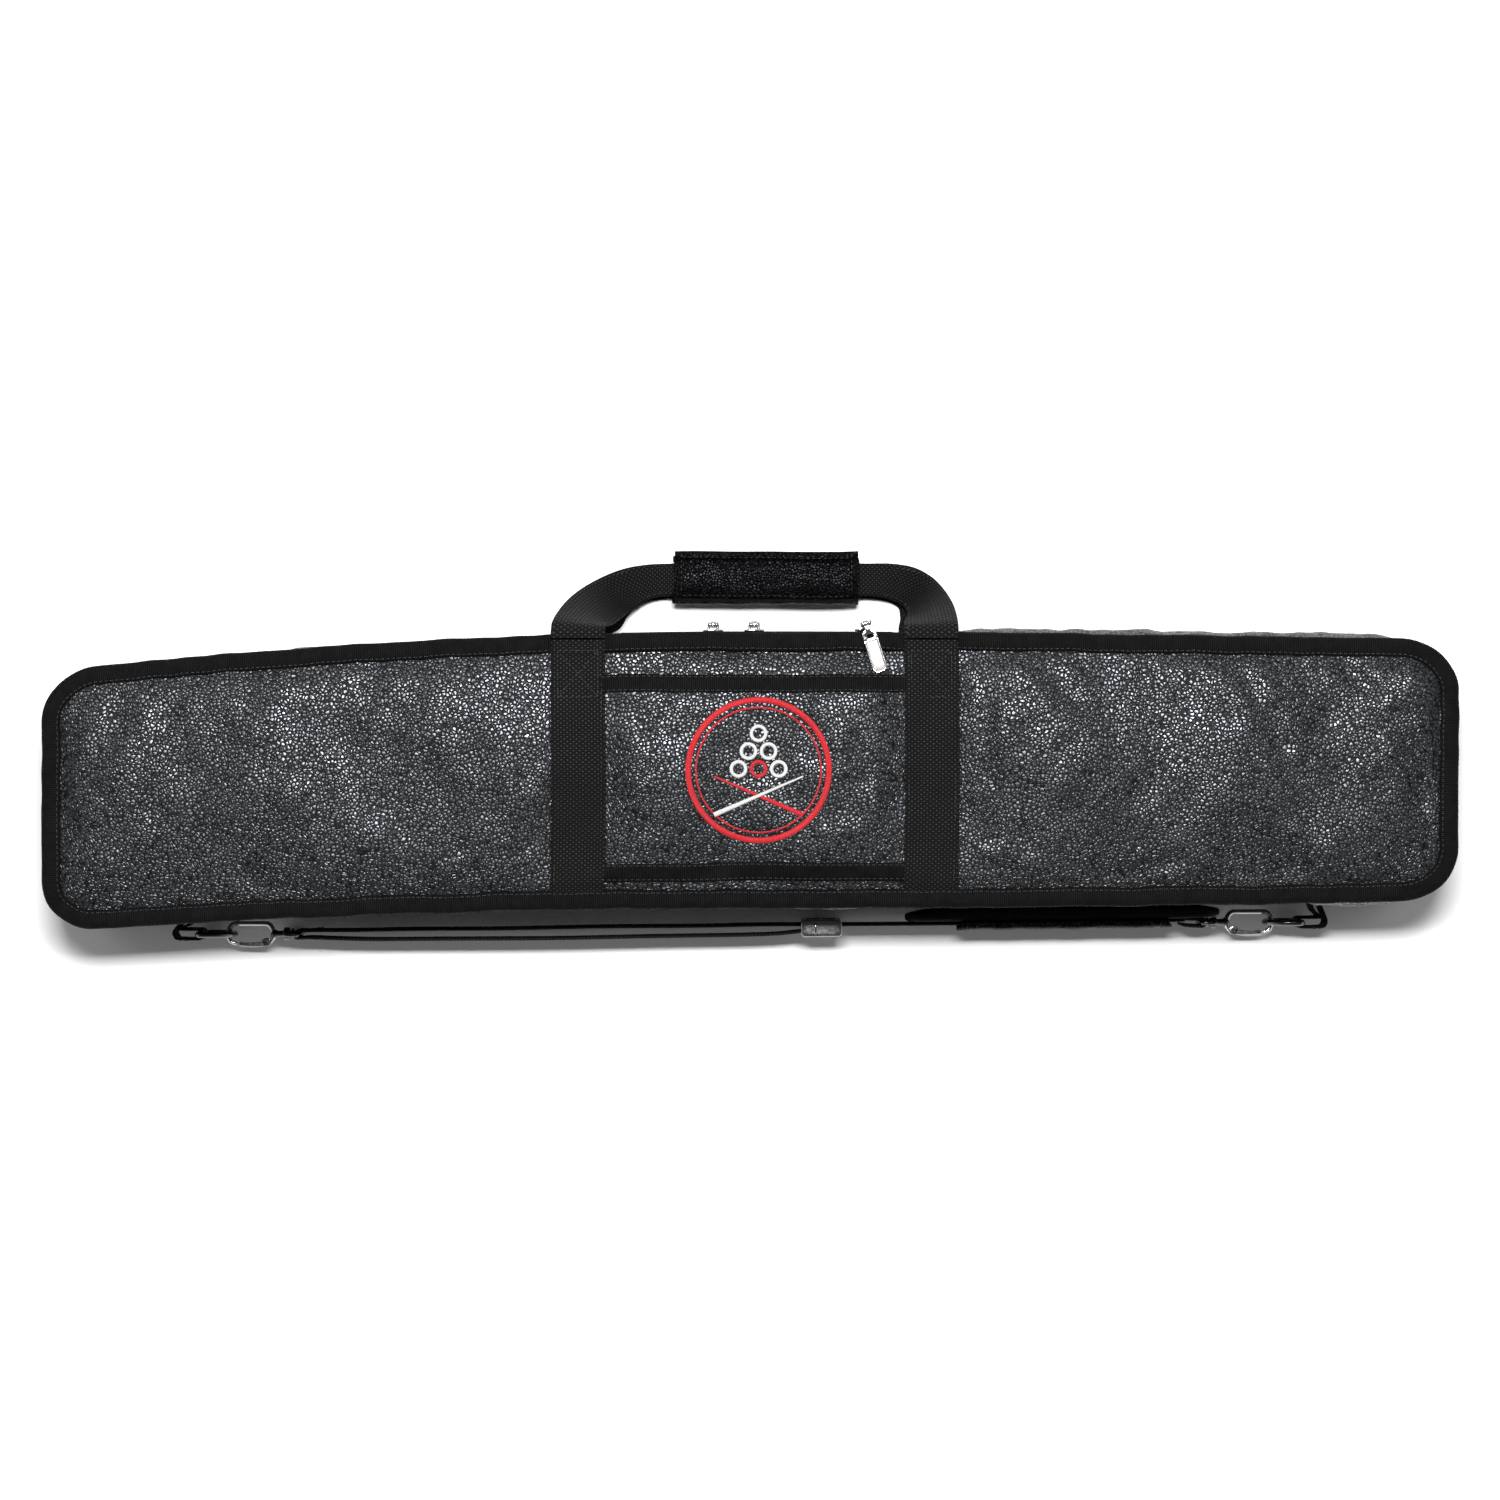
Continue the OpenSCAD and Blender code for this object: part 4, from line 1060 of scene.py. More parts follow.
flap.grid(np.stack([q[:, 0], under[:, 0]], 1)).grid(np.stack([q[:, -1], under[:, -1]], 1), flip=True)
flap.grid(np.stack([q[0], under[0]], 0), flip=True).grid(np.stack([q[-1], under[-1]], 0))
flap.build("grip_flap_leather", LEATHER_FINE, "handle_flap", "leather", ["grip_flap"])
fold = np.stack([q[:, 2] * 1.0], 1)
turned = Piece()
bead = q[:, -2] + fn[:, -2] * 0.0003
tube(turned, bead, 0.00095, False, 10)
turned.build("grip_flap_edge", RIBBED, "handle_flap", "binding_tape")
for j, tag in ((-7, "front"), (17, "back")):
    stitches(q[3:-3, j], fn[3:-3, j], "flap_stitches_" + tag, "handle_flap", THREAD, "leather")
for i, tag in ((3, "left"), (-4, "right")):
    stitches(q[i, 12:-6], fn[i, 12:-6], "flap_stitches_" + tag, "handle_flap", THREAD, "leather")
lx, ly = np.meshgrid(np.linspace(-0.038, 0.058, 40), np.linspace(0.1065, 0.1235, 10), indexing="ij")
lz = np.interp(ly[0], prof[::-1, 0][:-3], prof[::-1, 1][:-3]) - 0.0016
loop_strip = np.stack([lx, ly, np.repeat(lz[None], 40, 0)], 2)
Piece().grid(loop_strip, flip=True).grid(loop_strip - arr(0, 0, 0.0002)).build(
    "flap_touch_strip", LINING, "handle_flap", "touch_strip")
# the leather that joins the wrap to its flap
hinge_p = np.array([(0.1291, 0.0142), (0.1300, 0.0160), (0.1307, 0.0176), (0.1312, 0.0190), (0.1316, 0.0202), (0.1312, 0.0210)])
hq = np.empty((60, 6, 3))
hq[..., 0] = np.linspace(GRIP_X0 + 0.002, GRIP_X1 - 0.002, 60)[:, None]
hq[..., 1] = hinge_p[None, :, 0]
hq[..., 2] = hinge_p[None, :, 1]
hb = hq - arr(0, 0.0012, 0)
join = Piece().grid(hq).grid(hb, flip=True).grid(np.stack([hb[:, -1], hq[:, -1]], 1), flip=True)
join = join.build("grip_fold", LEATHER_FINE, None, "leather")
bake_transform(join)

# ---------------------------------------------------------------- rear handle
pts = [(WEB_X[0], 0.0830, 0.0012), (-0.0985, 0.0865, 0.0012), (-0.0920, 0.0940, 0.0012), (-0.0850, 0.1025, 0.0012),
       (-0.0750, 0.1090, 0.0012), (-0.0600, 0.1130, 0.0012), (-0.030, 0.1140, 0.0012), (0.010, 0.1140, 0.0012),
       (0.050, 0.1140, 0.0012), (0.078, 0.1135, 0.0012), (0.0955, 0.1095, 0.0012), (0.1035, 0.1015, 0.0012),
       (0.1065, 0.0935, 0.0012), (WEB_X[1], 0.0865, 0.0012), (WEB_X[1], 0.0830, 0.0012)]
hv = [(-0.016, 0, 0), (-0.0155, 0.003, 0), (-0.0135, 0.0075, 0), (-0.0105, 0.0095, 0), (-0.0058, 0.0106, 0), (-0.0016, 0.0100, 0),
      (0, 0.0098, 0), (0, 0.0098, 0), (0, 0.0098, 0), (0.001, 0.0100, 0), (0.0062, 0.0102, 0), (0.0122, 0.0082, 0),
      (0.0152, 0.0030, 0), (0.016, 0, 0), (0.016, 0, 0)]
handle_strip(pts, hv, 190, "rear_handle_strap", "rear_handle", ["rear_handle_web"], 0.0015)

# ---------------------------------------------------------------- rear half
x, y = panel_grid(BIND_W - 0.001, 0.003)
d = edge_distance(x, y)
z = 0.0003 + 0.0010 * np.exp(-d / 0.008) + 0.0004 * np.abs(waves(x, y, 0.06, 101)) * smooth(d / 0.01)
for wx in WEB_X:
    z = z + 0.0022 * smooth(1.3 - np.abs(x - wx) / (WEB_W / 2 + 0.004))
z = z + 0.0006 * np.exp(-d / 0.012) * np.abs(waves(x, 0.3 * y, 0.02, 102))
ob = Piece().grid(np.stack([x, y, z], 2), us=x[:, 0], flip=True).build(
    "back_panel_leather", LEATHER, "back_shell", "leather", ["back_panel"])
binding("rear_binding_tape", 0.0006, -1, "back_shell", ["rear_binding"], 25)
for tag, wx in (("left", WEB_X[0]), ("right", WEB_X[1])):
    ys = np.linspace(edge_y(wx, -1, 0.003), 0.0822, 90)
    zc = 0.0010 + 0.0001 * waves(ys, 0 * ys, 0.05, 103)
    centre = np.stack([wx + 0 * ys, ys, zc], 1)
    half = np.tile(arr(WEB_W / 2, 0, 0), (len(ys), 1))
    strip_grid(Piece(), centre, -half, 0.0016, 12).build(
        "rear_web_" + tag, WEBBING, "back_shell", "webbing", ["rear_webs"] if tag == "left" else [])
    for sx in (-1, 1):
        line = np.stack([wx + sx * (WEB_W / 2 - 0.0022) + 0 * ys, ys, zc - 0.0006], 1)
        stitches(line, (0, 0, -1), f"rear_web_stitches_{tag}_{'l' if sx < 0 else 'r'}", "back_shell", THREAD, "webbing")

# ---------------------------------------------------------------- inside: tray, cradles, pads, bands, liner
LANES = ((-57, 22), (-25.2, 31), (11.2, 31), (43, 22))


def lane_profile():
    """Across the tray: points (y, height), both in millimetres, over the lanes and the ridges between them."""
    out = []
    for k, (c, w) in enumerate(LANES):
        h, r = w / 2, 2.0
        for a in np.linspace(90, 0, 5):
            out.append((c - h - r + r * math.cos(math.radians(a)), 37 - r + r * math.sin(math.radians(a))))
        out += [(c - h + 0.1, 28), (c - h + 0.2, 18)]
        f = min(h - 1, 6)
        for a in np.linspace(180, 270, 5):
            out.append((c - h + 0.3 + f + f * math.cos(math.radians(a)), 10 + f + f * math.sin(math.radians(a))))
        out.append((c, 10))
        for a in np.linspace(270, 360, 5):
            out.append((c + h - 0.3 - f + f * math.cos(math.radians(a)), 10 + f + f * math.sin(math.radians(a))))
        out += [(c + h - 0.2, 18), (c + h - 0.1, 28)]
        for a in np.linspace(180, 90, 5):
            out.append((c + h + r + r * math.cos(math.radians(a)), 37 - r + r * math.sin(math.radians(a))))
    return np.array(out)


LP = lane_profile()
stations = np.concatenate([[-0.4095, -0.405, -0.398, -0.390, -0.3832, -0.3831, -0.3752, -0.3751],
                           np.linspace(-0.373, 0.373, 120),
                           [0.3751, 0.3752, 0.3831, 0.3832, 0.390, 0.398, 0.405, 0.4095]])
rows = []
for xx in stations:
    r = CORNER_R - 0.0065
    over = min(max(abs(xx) - (HALF_LEN - 0.0065 - r), 0), r)
    hw = (HALF_W - 0.0065 - r) + math.sqrt(max(r * r - over * over, 0))
    lo, hi = float(warp(np.array(xx), -hw)), float(warp(np.array(xx), hw))
    yy = LP[:, 0] * MM
    if abs(xx) <= 0.37515:
        zz = LP[:, 1] * MM
    elif abs(xx) <= 0.38315:
        zz = np.where((yy > -0.0686) & (yy < 0.0546), 0.010, 0.037)
    else:
        zz = np.full(len(yy), 0.037)
    yy = np.clip(yy, lo + 0.001, hi - 0.001)
    nap = 0.0003 * waves(xx + 0 * yy, yy, 0.03, 111)
    row = [(xx, lo, 0.030), (xx, lo, 0.0355), (xx, lo + 0.0006, 0.0368), (xx, lo + 0.002, 0.0371)]
    row += [(xx, a, b + n) for a, b, n in zip(yy, zz, nap)]
    row += [(xx, hi - 0.002, 0.0371), (xx, hi - 0.0006, 0.0368), (xx, hi, 0.0355), (xx, hi, 0.030)]
    rows.append(row)
ob = Piece().grid(np.array(rows), us=stations).build("tray_padding", LINING, "back_shell", "lining", ["cue_tray"])

seat = Piece()
for cx in (-300, -110, 110, 300):
    for c, w in LANES:
        r = w / 2 - 0.4
        pr = [(c - w / 2 + 0.7, 10.0), (c - w / 2 + 0.7, 15.2), (c - w / 2 + 1.0, 15.8)]
        top_a = math.degrees(math.acos(min(1, max(-1, (10 + 1.6 + w / 2 - 16) / r))))
        for a in np.linspace(-top_a, top_a, 13):
            yv = c + r * math.sin(math.radians(a))
            if abs(yv - c) < w / 2 - 1.4:
                pr.append((yv, 11.6 + w / 2 - r * math.cos(math.radians(a))))
        pr += [(c + w / 2 - 1.0, 15.8), (c + w / 2 - 0.7, 15.2), (c + w / 2 - 0.7, 10.0)]
        pr = np.array(pr)
        q = []
        for dx, sink in ((-12, 1.0), (-11.6, 0.4), (-10.8, 0), (10.8, 0), (11.6, 0.4), (12, 1.0)):
            zz = np.where(pr[:, 1] > 10.01, np.maximum(pr[:, 1] - sink, 10.0), 10.0)
            q.append(np.column_stack([np.full(len(pr), cx + dx), pr[:, 0], zz]))
        q = np.array(q) * MM
        seat.grid(q)
        seat.cap(q[0], flip=True)
        seat.cap(q[-1])
ob = seat.build("cradle_foam", PANEL_LINING, "back_shell", "lining", ["cue_cradles"])

pads = Piece()
for s in (-1, 1):
    cx = s * 0.37885
    for t0 in (0,):
        yy = np.linspace(-0.068, 0.054, 60)
        loop = superloop(cx, 0.0224, 0.0037, 0.0124, 24, 4.0)
        q = np.empty((60, 24, 3))
        for k, v in enumerate(yy):
            e = min(v + 0.068, 0.054 - v)
            g = (1 - (1 - min(e / 0.004, 1)) ** 2) ** 0.5 * 0.25 + 0.75
            puff = 1 + 0.05 * math.sin(v * 180)
            q[k, :, 1] = v
            q[k, :, 0] = cx + (loop[:, 0] - cx) * g * puff
            q[k, :, 2] = 0.0224 + (loop[:, 1] - 0.0224) * (0.9 + 0.1 * g)
        pads.grid(q, cv=True).cap(q[0]).cap(q[-1], flip=True)
ob = pads.build("end_pad_foam", PANEL_LINING, "back_shell", "lining", ["tray_end_pads"])

for s, tag in ((-1, "left"), (1, "right")):
    path = spline([(s * 0.2, -0.0696, 0.0372), (s * 0.2, -0.0696, 0.0405), (s * 0.2, -0.0676, 0.0432),
                   (s * 0.2, -0.055, 0.0438), (s * 0.2, -0.02, 0.0434), (s * 0.2, 0.02, 0.0434), (s * 0.2, 0.042, 0.0438),
                   (s * 0.2, 0.0536, 0.0432), (s * 0.2, 0.0556, 0.0405), (s * 0.2, 0.0556, 0.0372)], 110)
    half = np.tile(arr(0.02, 0, 0), (110, 1))
    strip_grid(Piece(), path, -half, 0.0015, 14).build(
        "elastic_band_" + tag, ELASTIC, "back_shell", "elastic", ["retaining_bands"] if s < 0 else [])

x, y = panel_grid(0.0056, 0.004)
d = np.maximum(edge_distance(x, y) + 0.005, 0)
z = 0.0484 - 0.0022 * (1 - np.exp(-d / 0.006)) + 0.0002 * waves(x, y, 0.05, 121)
for gxk in np.linspace(-0.33, 0.33, 7):
    z = z + 0.0013 * np.exp(-((x - gxk) / 0.0022) ** 2) * smooth((d - 0.004) / 0.01)
ob = Piece().grid(np.stack([x, y, z], 2), us=x[:, 0], flip=True).build(
    "lid_lining", PANEL_LINING, "lid", "lining", ["lid_liner"])
seams = Piece()
for gxk in np.linspace(-0.33, 0.33, 7):
    yy = np.linspace(edge_y(gxk, -1, 0.014), edge_y(gxk, 1, 0.014), 60)
    stitches(np.stack([gxk + 0 * yy, yy, 0.0475 + 0 * yy], 1), (0, 0, -1), f"lining_seam_{int(gxk * 1000 + 400)}",
             "lid", THREAD, "lining", pitch=0.004, length=0.003)
for tag, zz, body in (("lower", 0.0334, "back_shell"), ("upper", 0.0478, "lid")):
    p, us = sweep(arr(5.4, 5.2, 3.0, 2.8) * MM, zz + arr(-2, 0, 0, -2) * MM * (1 if tag == "lower" else -1), PATH_N)
    Piece().grid(p, cu=True, us=us, flip=tag == "upper").build("inner_seam_tape_" + tag, RIBBED, body, "binding_tape")

# ---------------------------------------------------------------- metal parts of the zips


def from_frame(origin, ex, ey, ez):
    """Makes a function that takes points from a part's own frame to the row's."""
    m = np.array([ex, ey, ez], float)
    return lambda p: np.asarray(p, float) @ m + np.asarray(origin, float)


def pull_mesh(name, length, width, place, body, node):
    """A flat pull hanging from its barrel: X is the pin, -Z the length. Millimetres."""
    mm = lambda p: place(np.asarray(p) * MM)
    flat = lambda p: mm(np.stack([p[..., 0], p[..., 2], p[..., 1]], -1) * arr(1, -1, 1))
    out = Piece()
    prof = [(1.02, -1.7), (1.02, 1.7), (1.35, 1.72), (1.75, 1.6), (1.9, 1.3), (1.9, -1.3), (1.75, -1.6), (1.35, -1.72)]
    a = np.linspace(0, math.tau, 25)[:-1]
    q = np.array([[(h, r * math.cos(t), r * math.sin(t)) for r, h in prof] for t in a])
    out.grid(mm(q), cu=True, cv=True)
    w, h = width / 2, length
    slot0, slot1 = -6.2, -9.4
    neck = np.array([(-1.5, -1.6), (-1.6, -3.8), (-w + 0.9, -4.6), (-w + 0.1, -5.4), (-w, -6.3), (-w, -10.0),
                     (w, -10.0), (w, -6.3), (w - 0.1, -5.4), (w - 0.9, -4.6), (1.6, -3.8), (1.5, -1.6)])
    neck = resample(neck, 40, True)[0]
    hole = resample(rounded(width * 0.48, 2.6, 1.1, 6, 0, (slot0 + slot1) / 2), 40, True)[0]
    k = int(np.argmin(np.hypot(hole[:, 0] - hole[:, 0].min() + 0 * hole[:, 0], hole[:, 1] - hole[:, 1].max())))
    hole = np.roll(hole, -k, 0)
    k = int(np.argmin(np.hypot(neck[:, 0] + w, neck[:, 1] + 6.0)))
    neck = np.roll(neck, -k, 0)
    angle = lambda q, c: np.unwrap(np.arctan2(q[:, 1] - c, q[:, 0]))
    if (np.diff(angle(neck, -7.5)).sum() > 0) != (np.diff(angle(hole, -7.8)).sum() > 0):
        hole = np.roll(hole[::-1], 1, 0)
    plate(out, neck[::-1] if np.diff(angle(neck, -7.5)).sum() < 0 else neck, -0.75, 0.75, 0.2,
          hole[::-1] if np.diff(angle(neck, -7.5)).sum() < 0 else hole, flat)
    lower = np.array([(-w, -9.9), (-w, -h + 1.8), (-w + 1.8, -h), (w - 1.8, -h), (w, -h + 1.8), (w, -9.9)])
    lower = resample(lower, 48, True)[0]
    c = arr(0, (-9.9 - h) / 2)
    sx = (w - 1.05) / w
    sy = ((h - 9.9) / 2 - 1.1) / ((h - 9.9) / 2)
    win = c + (lower - c) * arr(sx, sy)
    area = np.sum(lower[:, 0] * np.roll(lower[:, 1], -1) - np.roll(lower[:, 0], -1) * lower[:, 1])
    if area < 0:
        lower, win = lower[::-1], win[::-1]
    plate(out, lower, -0.8, 0.8, 0.22, win, flat)
    ob = out.build(name, NICKEL, body, "nickel", [node])
    inset = Piece()
    plate(inset, c + (win - c) * 1.03, -0.5, 0.5, 0.1, None, flat)
    inset.build(name + "_inset", FROSTED, body, "nickel")
    return ob


def main_slider_mesh(tag, x0, body, node):
    y0 = edge_y(x0, 1)
    mm = lambda p: arr(x0, y0, 0.040) + np.asarray(p) * MM
    out = Piece()
    shape = resample(np.array([(-6, -2.4), (-3.2, -4.5), (0, -4.4), (5, -3.4), (6, -2), (6, 2), (5, 3.4), (0, 4.4),
                               (-3.2, 4.5), (-6, 2.4)]), 60, True)[0]
    flat = lambda p: mm(np.stack([p[..., 0], 1.1 + p[..., 2], -p[..., 1]], -1))
    plate(out, shape, 0.0, 1.4, 0.4, None, flat)
    a = np.linspace(0, math.pi, 14)
    for s in (-1, 1):
        cheek = [(s * 2.65, 2.1, 0)]
        path = np.array([(s * 2.65, 2.3, 0), (s * 2.65, 3.6, 0), (s * 2.65, 5.4, 0)])
        tube(out, mm(spline(path, 12)), 0.95 * MM, False, 12)
        ball(out, mm((s * 2.65, 5.4, 0)), arr(0.8, 1.65, 1.65) * MM, 9, 18)
    tube(out, mm(np.array([(v, 5.4, 0) for v in np.linspace(-2.8, 2.8, 8)])), 0.9 * MM, False, 16)
    return out.build("main_slider_body_" + tag, NICKEL, body, "nickel", [node])


SLIDER_X = {"left": -0.022, "right": 0.0025}
for tag in ("left", "right"):
    x0 = SLIDER_X[tag]
    y0 = edge_y(x0, 1)
    main_slider_mesh(tag, x0, f"{tag}_main_slider", f"main_slider_{tag}")
    pull_mesh(f"main_zip_pull_{tag}", 24, 7, from_frame((x0, y0 + 0.0054, 0.040), (1, 0, 0), (0, 1, 0), (0, 0, 1)),
              f"{tag}_main_pull", f"main_pull_{tag}")

PSX = 0.068
py = edge_y(PSX, 1)
mm = lambda p: arr(PSX, py, 0) + np.asarray(p) * MM
out = Piece()
shape = resample(np.array([(-6, 67.3), (-3.5, 65.6), (5, 66.4), (6, 67.4), (6, 71.6), (5, 72.6), (-3.5, 73.4), (-6, 71.7)]), 56, True)[0]
plate(out, shape, 0.6, 2.0, 0.35, None, lambda p: mm(np.stack([p[..., 0], p[..., 2], p[..., 1]], -1))[..., :, :] * 1.0)
post = resample(rounded(4, 15.3, 0.8, 4, 0, 74.3), 40, True)[0]
plate(out, post, 1.9, 3.2, 0.3, None, lambda p: mm(np.stack([p[..., 0], p[..., 2], p[..., 1]], -1)))
ct, st = math.cos(math.radians(17.5)), math.sin(math.radians(17.5))
turn = lambda p: mm(np.stack([p[..., 0] * ct - p[..., 1] * st, p[..., 0] * st + p[..., 1] * ct + 4.8, p[..., 2] + 84.3], -1))
for s in (-1, 1):
    path = np.array([(s * 2.65, 0, -3.2), (s * 2.65, 0, -1.6), (s * 2.65, 0, 0)], float)
    tube(out, turn(path), 0.95 * MM, False, 12)
    ball(out, turn(arr(s * 2.65, 0, 0)), arr(0.75, 1.6, 1.6) * MM, 9, 18)
tube(out, turn(np.array([(v, 0, 0) for v in np.linspace(-2.8, 2.8, 8)], float)), 0.9 * MM, False, 16)
saddle = resample(rounded(6.4, 3.3, 0.8, 4), 40, True)[0]
plate(out, saddle, -3.6, -2.4, 0.3, None, turn)
out.build("pocket_zip_slider", NICKEL, "lid_pocket_slider", "nickel", ["pocket_slider"])
pull_mesh("pocket_zip_pull", 30, 8.5,
          from_frame(turn(arr(0.0, 0.0, 0.0)), (ct, st, 0), (0, 0, -1), (-st, ct, 0)), "lid_pocket_pull", "pocket_pull")

# ---------------------------------------------------------------- strap ends: tabs, rings, hooks, swivels
END_Y = {"left": -0.0994, "right": -0.0922}
RING_X, HOOK_X, EYE_X, RING_Z = 0.3325, 0.302, 0.272, 0.016
for tag, s in (("left", 1), ("right", -1)):
    cy = END_Y[tag]
    # webbing tab looped round the ring's bar and sewn to the side wall
    bx = -s * RING_X
    a = np.linspace(-math.pi / 2, math.pi / 2, 13)
    loop = [(bx + s * 0.0029 * math.cos(t), cy + 0.0029 * math.sin(t)) for t in a]
    wall = edge_y(bx - s * 0.010, -1, -0.0004)
    outer = [(bx - s * 0.0135, cy - 0.0026), (bx - s * 0.007, cy - 0.0029)] + loop
    outer += [(bx - s * 0.006, cy + 0.0029), (bx - s * 0.0115, cy + 0.0031)]
    ob = Piece()
    c2 = spline(outer, 60)
    c3 = np.column_stack([c2, np.full(60, RING_Z)])
    strip_grid(ob, c3, np.tile(arr(0, 0, 0.0098), (60, 1)), 0.0014, 8)
    wallp = spline([(bx - s * 0.0135, cy - 0.0026), (bx - s * 0.0150, cy + 0.001), (bx - s * 0.0125, (cy + wall) / 2 + 0.001),
                    (bx - s * 0.0105, wall - 0.0012), (bx - s * 0.0105, wall + 0.0022)], 40)
    strip_grid(ob, np.column_stack([wallp, np.full(40, RING_Z)]), np.tile(arr(0, 0, 0.0098), (40, 1)), 0.0014, 8)
    wallq = spline([(bx - s * 0.0115, cy + 0.0031), (bx - s * 0.0105, cy + 0.0042), (bx - s * 0.0068, (cy + wall) / 2 + 0.0015),
                    (bx - s * 0.0058, wall - 0.001), (bx - s * 0.0058, wall + 0.0024)], 40)
    strip_grid(ob, np.column_stack([wallq, np.full(40, RING_Z)]), np.tile(arr(0, 0, 0.0098), (40, 1)), 0.0014, 8)
    ob.build("ring_tab_web_" + tag, STRAP_WEB, "back_shell", "webbing", [f"ring_tab_{tag}"])
    for zz in (0.009, 0.016, 0.023):
        line = np.array([(bx - s * 0.0128, cy - 0.0036, zz), (bx - s * 0.0045, cy - 0.0038, zz)])
        stitches(line, (0, -1, 0), f"tab_stitches_{tag}_{int(zz * 1000)}", "back_shell", THREAD, "webbing")
    # the ring
    bow = [(0, 0, -13), (0, 0, 0), (0, 0, 13)]
    ring = [(0, -13), (0, -6), (0, 0), (0, 6), (0.25, 11.4), (1.6, 12.8), (4, 13), (8, 13)]
    ring += [(8 + 13 * math.sin(math.radians(k)), 13 * math.cos(math.radians(k))) for k in range(10, 180, 10)]
    ring += [(8, -13), (4, -13), (1.6, -12.8), (0.25, -11.4)]
    r2 = resample(np.array(ring, float), 120, True)[0]
    path = np.column_stack([bx + s * r2[:, 0] * MM, np.full(120, cy), RING_Z + r2[:, 1] * MM])
    out = Piece()
    tube(out, path, 0.0019, True, 16, up=(0, 1, 0))
    out.build("ring_wire_" + tag, GUNMETAL, f"{tag}_d_ring", "gunmetal", [f"d_ring_{tag}"])
    # the hook, drawn with its ring end towards the case's middle
    m = -1 if tag == "left" else 1
    hk = lambda p: arr(m * HOOK_X, cy, RING_Z) + np.asarray(p) * arr(m, 1, 1) * MM
    body = f"{tag}_snap_hook"
    out = Piece()
    path = [(8.4, -6.1), (10.6, -5.2)] + [(9 + 4.5 * math.cos(math.radians(k)), 0 + 6.2 * math.sin(math.radians(k)))
                                       for k in range(-48, 91, 12)]
    path += [(6, 6.25), (0, 6.25), (-6, 6.25)]
    path += [(-9 - 4.6 * math.cos(math.radians(k)), 6.2 * math.sin(math.radians(k))) for k in range(90, -46, -12)]
    path += [(-11.0, -5.4)]
    p2 = spline(path, 100)
    rad = np.interp(np.linspace(0, 1, 100), [0, 0.06, 0.3, 0.62, 0.9, 1], [1.0, 1.3, 1.45, 1.45, 1.75, 1.1]) * MM
    tube(out, hk(np.column_stack([p2, np.zeros(100)])), rad, False, 16, flat=1.12)
    for zz in (-1.45, 1.45):
        lug = Piece()
        a = np.arange(28) * math.tau / 28
        disc = np.column_stack([-9.6 + 2.9 * np.cos(a), -5.0 + 2.5 * np.sin(a)])
        plate(out, disc, zz - 0.5, zz + 0.5, 0.22, None, hk)
    a = np.arange(24) * math.tau / 24

    def turned_part(profile, material, name, body, slot, node=()):
        """A round part about the hook's axis from (x, radius) in mm."""
        q = np.array([[(px, r * math.cos(t), r * math.sin(t)) for px, r in profile] for t in a])
        part = Piece().grid(hk(q), cu=True)
        part.cap(hk(q[:, 0]))
        part.cap(hk(q[:, -1]), flip=True)
        return part.build(name, material, body, slot, node)

    out.build("hook_body_" + tag, NICKEL, body, "nickel", [f"snap_hook_{tag}"])
    turned_part([(-12.2, 1.2), (-13.2, 2.6), (-14.2, 2.9), (-15.4, 2.4), (-16.2, 1.95), (-19.4, 1.9), (-24.2, 1.9),
                 (-24.6, 1.95), (-24.7, 3.2), (-25.1, 3.4), (-26.0, 3.3), (-26.4, 2.2)],
                GUNMETAL, "hook_shank_" + tag, body, "nickel")
    out = Piece()
    gate = np.array([(-9.4, -7.4), (-4, -7.7), (1.5, -7.6), (6.6, -7.2), (7.3, -6.6), (7.3, -5.5), (6.6, -5.1), (1, -5.3),
                     (-4, -5.1), (-7.6, -4.5), (-9.6, -4.6), (-10.8, -5.6), (-10.6, -6.9)])
    gate = resample(spline(np.vstack([gate, gate[:1]]), 90)[:-1], 72, True)[0]
    pl = Piece()
    plate(pl, gate, -0.8, 0.8, 0.35, None, hk)
    pl.build("hook_gate_plate_" + tag, NICKEL, f"{tag}_hook_gate", "nickel", [f"hook_gate_{tag}"])
    rv = Piece()
    for zz, d in ((1.95, 1), (-1.95, -1)):
        ball(rv, hk((-8.8, -6.0, zz)), arr(1.5, 1.5, 0.75) * MM, 9, 20)
    tube(rv, hk(np.array([(-8.8, -6, v) for v in np.linspace(-2, 2, 6)], float)), 0.8 * MM, False, 14)
    rv.build("hook_rivet_pin_" + tag, GUNMETAL, body, "gunmetal", [f"hook_rivet_{tag}"])
    # the swivel eye
    ee = lambda p: arr(m * EYE_X, cy, RING_Z) + np.asarray(p) * arr(m, 1, 1) * MM
    loop = [(0, -13), (0, 0), (0, 13), (0.4, 14.1), (1.6, 14.6), (6, 14.5), (7.8, 14.0), (8.3, 12.4), (8.3, 6), (8.3, 0),
            (8.3, -6), (8.3, -12.4), (7.8, -14.0), (6, -14.5), (1.6, -14.6), (0.4, -14.1)]
    l2 = resample(np.array(loop, float), 110, True)[0]
    out = Piece()
    tube(out, ee(np.column_stack([l2[:, 0], np.zeros(110), l2[:, 1]])), 1.3 * MM, True, 14, up=(0, 1, 0))
    hub = np.array([[(px, r * math.cos(t), r * math.sin(t)) for px, r in
                     ((6.4, 2.15), (6.2, 3.6), (6.7, 4.0), (9.4, 4.0), (9.9, 3.6), (9.8, 2.15))] for t in a])
    out.grid(ee(hub), cu=True, cv=True)
    out.build("swivel_eye_loop_" + tag, GUNMETAL, "back_shell", "nickel", [f"swivel_eye_{tag}"])

# ---------------------------------------------------------------- the strap
TURN = math.radians(0.75)


